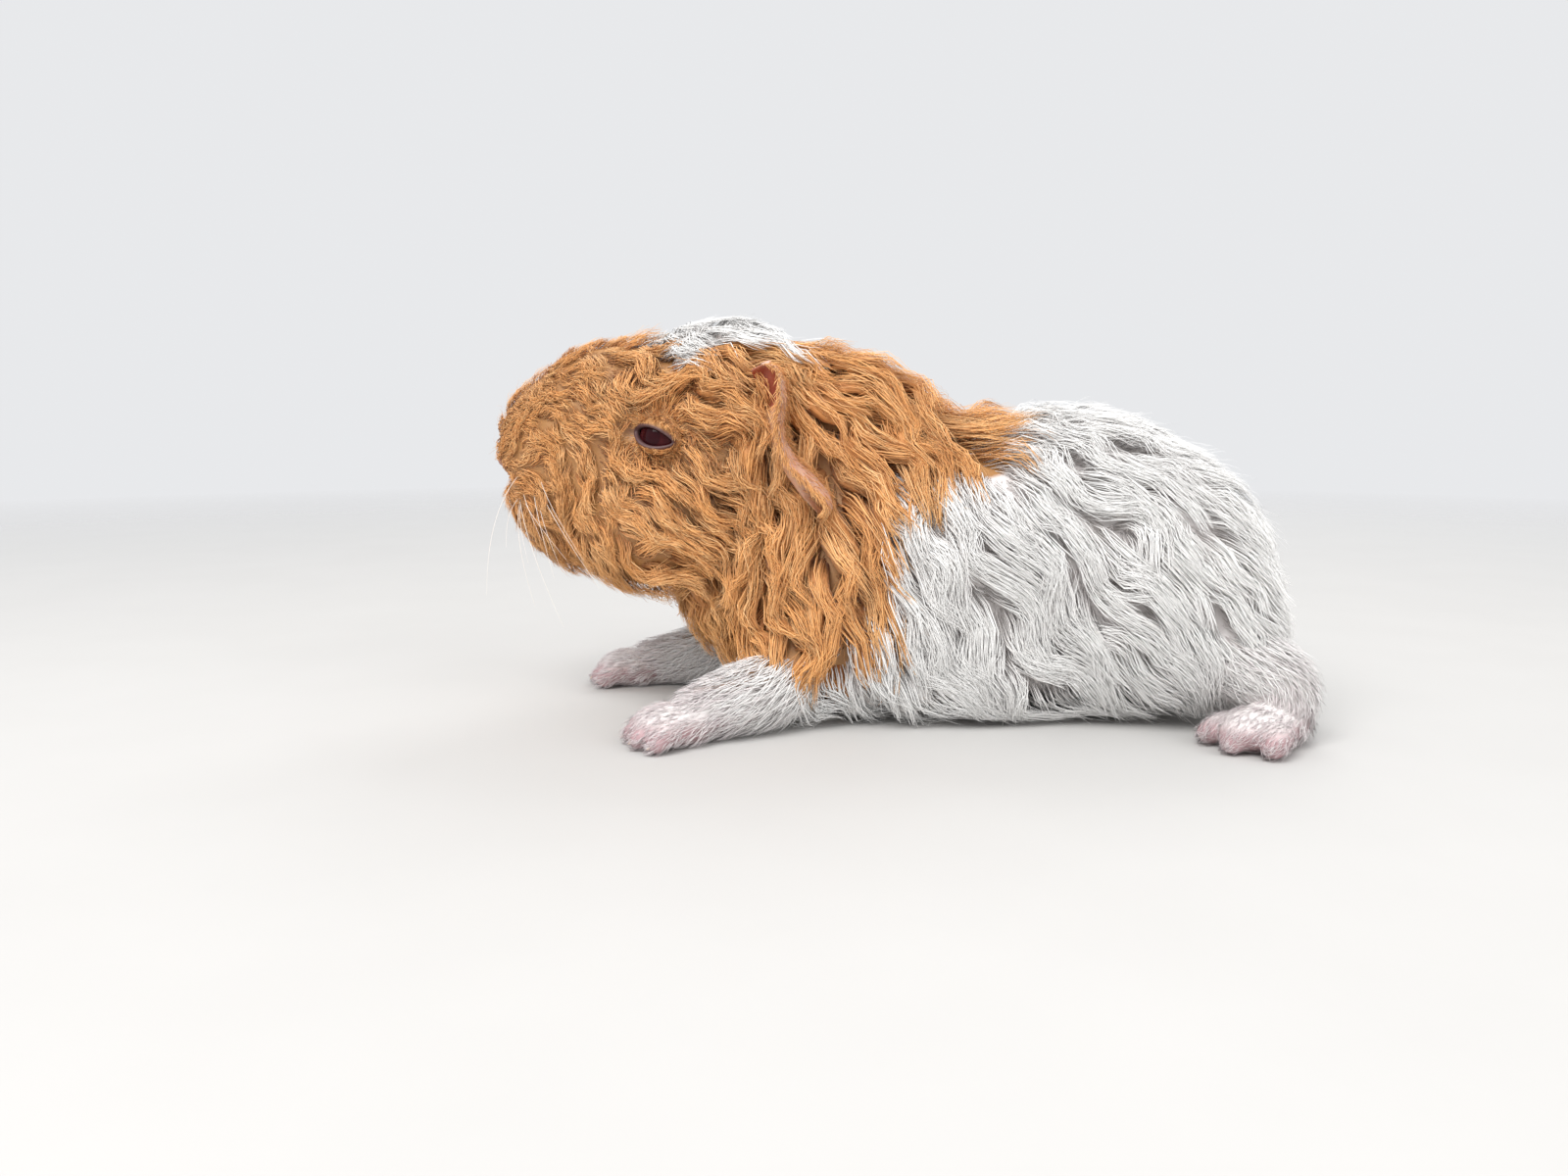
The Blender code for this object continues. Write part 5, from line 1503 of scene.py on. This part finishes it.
def ear_paint(tree, shader, look):
    bumped(tree, shader, noise(tree, 0.35), 0.4, 0.08)
    inner = layered(tree, (0.46, 0.23, 0.13), (value_of(tree, "rim"), (0.5, 0.95), (0.52, 0.275, 0.215)))
    return layered(
        tree, (0.50, 0.28, 0.20), (value_of(tree, "inner"), (), inner),
        (noise(tree, 0.8), (0.35, 0.65, 0.0, 0.4), (0.54, 0.31, 0.20)),
        # The ear's hollow is painted dark red as shade in its cup.
        (value_of(tree, "hollow"), (0.05, 0.5), (0.36, 0.085, 0.045)),
    )


def eye_paint(tree, shader, look):
    return layered(
        tree, look.eye, (noise(tree, 0.5), (0.3, 0.7, 0.0, 0.5), (0.07, 0.010, 0.010)),
        (value_of(tree, "facing"), (0.90, 0.93), (0.024, 0.003, 0.005)),
    )


def claw_paint(tree, shader, look):
    return layered(tree, look.claw, (noise(tree, 0.6), (0.3, 0.7), (0.50, 0.36, 0.30)))


def whisker_paint(tree, shader, look):
    return mixed(tree, noise(tree, 3.0), (0.85, 0.80, 0.74), (0.75, 0.66, 0.58))


def floor_paint(tree, shader, look):
    place = tree.nodes.new("ShaderNodeTexCoord")
    apart = tree.nodes.new("ShaderNodeVectorMath")
    apart.operation = "LENGTH"
    tree.links.new(place.outputs["Object"], apart.inputs[0])
    tree.links.new(mapped(tree, apart.outputs["Value"], *FLOOR_FADE, 1.0, 0.0), shader.inputs["Alpha"])
    return mixed(tree, noise(tree, 30.0), (0.50, 0.49, 0.475), (0.53, 0.52, 0.505))


# How each material is painted and set. The frame brings its own claw and eye, so these two have other names.
LOOKS = {
    "coat": (coat_paint, {
        "Roughness": 0.55, "Specular IOR Level": 0.3, "Sheen Weight": 0.1, "Sheen Roughness": 0.4,
    }),
    "skin": (skin_paint, {"Roughness": 0.5}),
    "ear_skin": (ear_paint, {
        "Roughness": 0.45, "Subsurface Weight": 0.25, "Subsurface Radius": (1.0, 0.35, 0.2),
        "Subsurface Scale": 0.8 * MM,
    }),
    "eyeball": (eye_paint, {"Roughness": 0.09, "Specular IOR Level": 0.12}),
    "claw_horn": (claw_paint, {"Roughness": 0.3}),
    "whisker": (whisker_paint, {"Roughness": 0.4}),
    "floor": (floor_paint, {"Roughness": 0.8}),
}


# The stage


def area_light(name, place, size, power):
    data = bpy.data.lights.new(name, "AREA")
    data.size, data.energy = size, power
    obj = bpy.data.objects.new(name, data)
    obj.location = place
    obj.rotation_euler = (Vector(LIGHTS_AIM) - Vector(place)).to_track_quat("-Z", "Y").to_euler()
    bpy.context.scene.collection.objects.link(obj)


def build_stage():
    """Floor, soft lights, sky and the camera where the photograph was taken."""
    sizes = stage_sizes()
    scene = bpy.context.scene
    select_none()
    bpy.ops.mesh.primitive_plane_add(size=sizes.floor_size)
    floor = bpy.context.object
    floor.name = "floor"
    floor.data.materials.append(material("floor"))
    area_light("key", *KEY_LIGHT, sizes.key_power)
    area_light("fill", *FILL_LIGHT, sizes.fill_power)
    area_light("back", *BACK_LIGHT, sizes.fill_power)
    world = bpy.data.worlds.new("sky")
    world.use_nodes = True
    back = world.node_tree.nodes["Background"]
    back.inputs["Color"].default_value = SKY_COLOUR
    back.inputs["Strength"].default_value = sizes.sky
    scene.world = world
    scene.view_settings.view_transform = "Standard"
    data = bpy.data.cameras.new("camera")
    data.lens, data.sensor_width, data.clip_start = CAMERA_LENS, 36, 0.01
    camera = bpy.data.objects.new("camera", data)
    camera.location = CAMERA_AT
    camera.rotation_euler = (math.radians(CAMERA_TILT), 0, 0)
    scene.collection.objects.link(camera)
    scene.camera = camera


class PUP_OT_skin(bpy.types.Operator):
    """Models the skin of the whole body with its lids, lips and nostrils"""

    bl_idname = "pup.skin"
    bl_label = "Skin"

    def execute(self, context):
        build_skin()
        return {"FINISHED"}


class PUP_OT_ears(bpy.types.Operator):
    """Models both ears and their down"""

    bl_idname = "pup.ears"
    bl_label = "Ears"

    def execute(self, context):
        for word, side in SIDES.items():
            build_ear(word, side)
        build_ear_down()
        return {"FINISHED"}


class PUP_OT_eyes(bpy.types.Operator):
    """Models both eyes"""

    bl_idname = "pup.eyes"
    bl_label = "Eyes"

    def execute(self, context):
        build_eyes()
        return {"FINISHED"}


class PUP_OT_claws(bpy.types.Operator):
    """Models the claws of each paw"""

    bl_idname = "pup.claws"
    bl_label = "Claws"

    def execute(self, context):
        build_claws()
        return {"FINISHED"}


class PUP_OT_body_coat(bpy.types.Operator):
    """Grows the coat of head, neck and trunk"""

    bl_idname = "pup.body_coat"
    bl_label = "Body coat"

    def execute(self, context):
        build_body_coat()
        return {"FINISHED"}


class PUP_OT_leg_coat(bpy.types.Operator):
    """Grows the short fur of legs and paws, once there is a skin"""

    bl_idname = "pup.leg_coat"
    bl_label = "Leg coat"

    def execute(self, context):
        build_leg_coat()
        return {"FINISHED"}


class PUP_OT_whiskers(bpy.types.Operator):
    """Grows the whiskers"""

    bl_idname = "pup.whiskers"
    bl_label = "Whiskers"

    def execute(self, context):
        build_whiskers()
        return {"FINISHED"}


class PUP_OT_stage(bpy.types.Operator):
    """Sets the floor, the lights and the camera"""

    bl_idname = "pup.stage"
    bl_label = "Stage"

    def execute(self, context):
        build_stage()
        return {"FINISHED"}


OPERATORS = (
    PUP_OT_skin, PUP_OT_ears, PUP_OT_eyes, PUP_OT_claws, PUP_OT_body_coat, PUP_OT_leg_coat, PUP_OT_whiskers,
    PUP_OT_stage,
)


class PUP_PT_panel(bpy.types.Panel):
    """Lists the pieces of the guinea pig and its sizes"""

    bl_idname = "PUP_PT_panel"
    bl_label = "Guinea pig"
    bl_space_type = "VIEW_3D"
    bl_region_type = "UI"
    bl_category = "Guinea pig"

    def draw(self, context):
        for operator in OPERATORS:
            self.layout.operator(operator.bl_idname)
        for group in GROUPS:
            settings = getattr(context.scene, group)
            for key in settings.bl_rna.properties.keys():
                if key not in ("rna_type", "name"):
                    self.layout.prop(settings, key)


GROUPS = {"pup_coat": CoatSizes, "pup_face": FaceSizes, "pup_colours": Colours, "pup_stage": StageSizes}


def register():
    for each in (*GROUPS.values(), *OPERATORS, PUP_PT_panel):
        bpy.utils.register_class(each)
    for name, group in GROUPS.items():
        setattr(bpy.types.Scene, name, PointerProperty(type=group))


def unregister():
    for name in GROUPS:
        delattr(bpy.types.Scene, name)
    for each in (PUP_PT_panel, *OPERATORS[::-1], *list(GROUPS.values())[::-1]):
        bpy.utils.unregister_class(each)


def main():
    register()
    bpy.ops.pup.skin()
    bpy.ops.pup.ears()
    bpy.ops.pup.eyes()
    bpy.ops.pup.claws()
    bpy.ops.pup.body_coat()
    bpy.ops.pup.leg_coat()
    bpy.ops.pup.whiskers()
    bpy.ops.pup.stage()


if __name__ == "__main__":
    main()
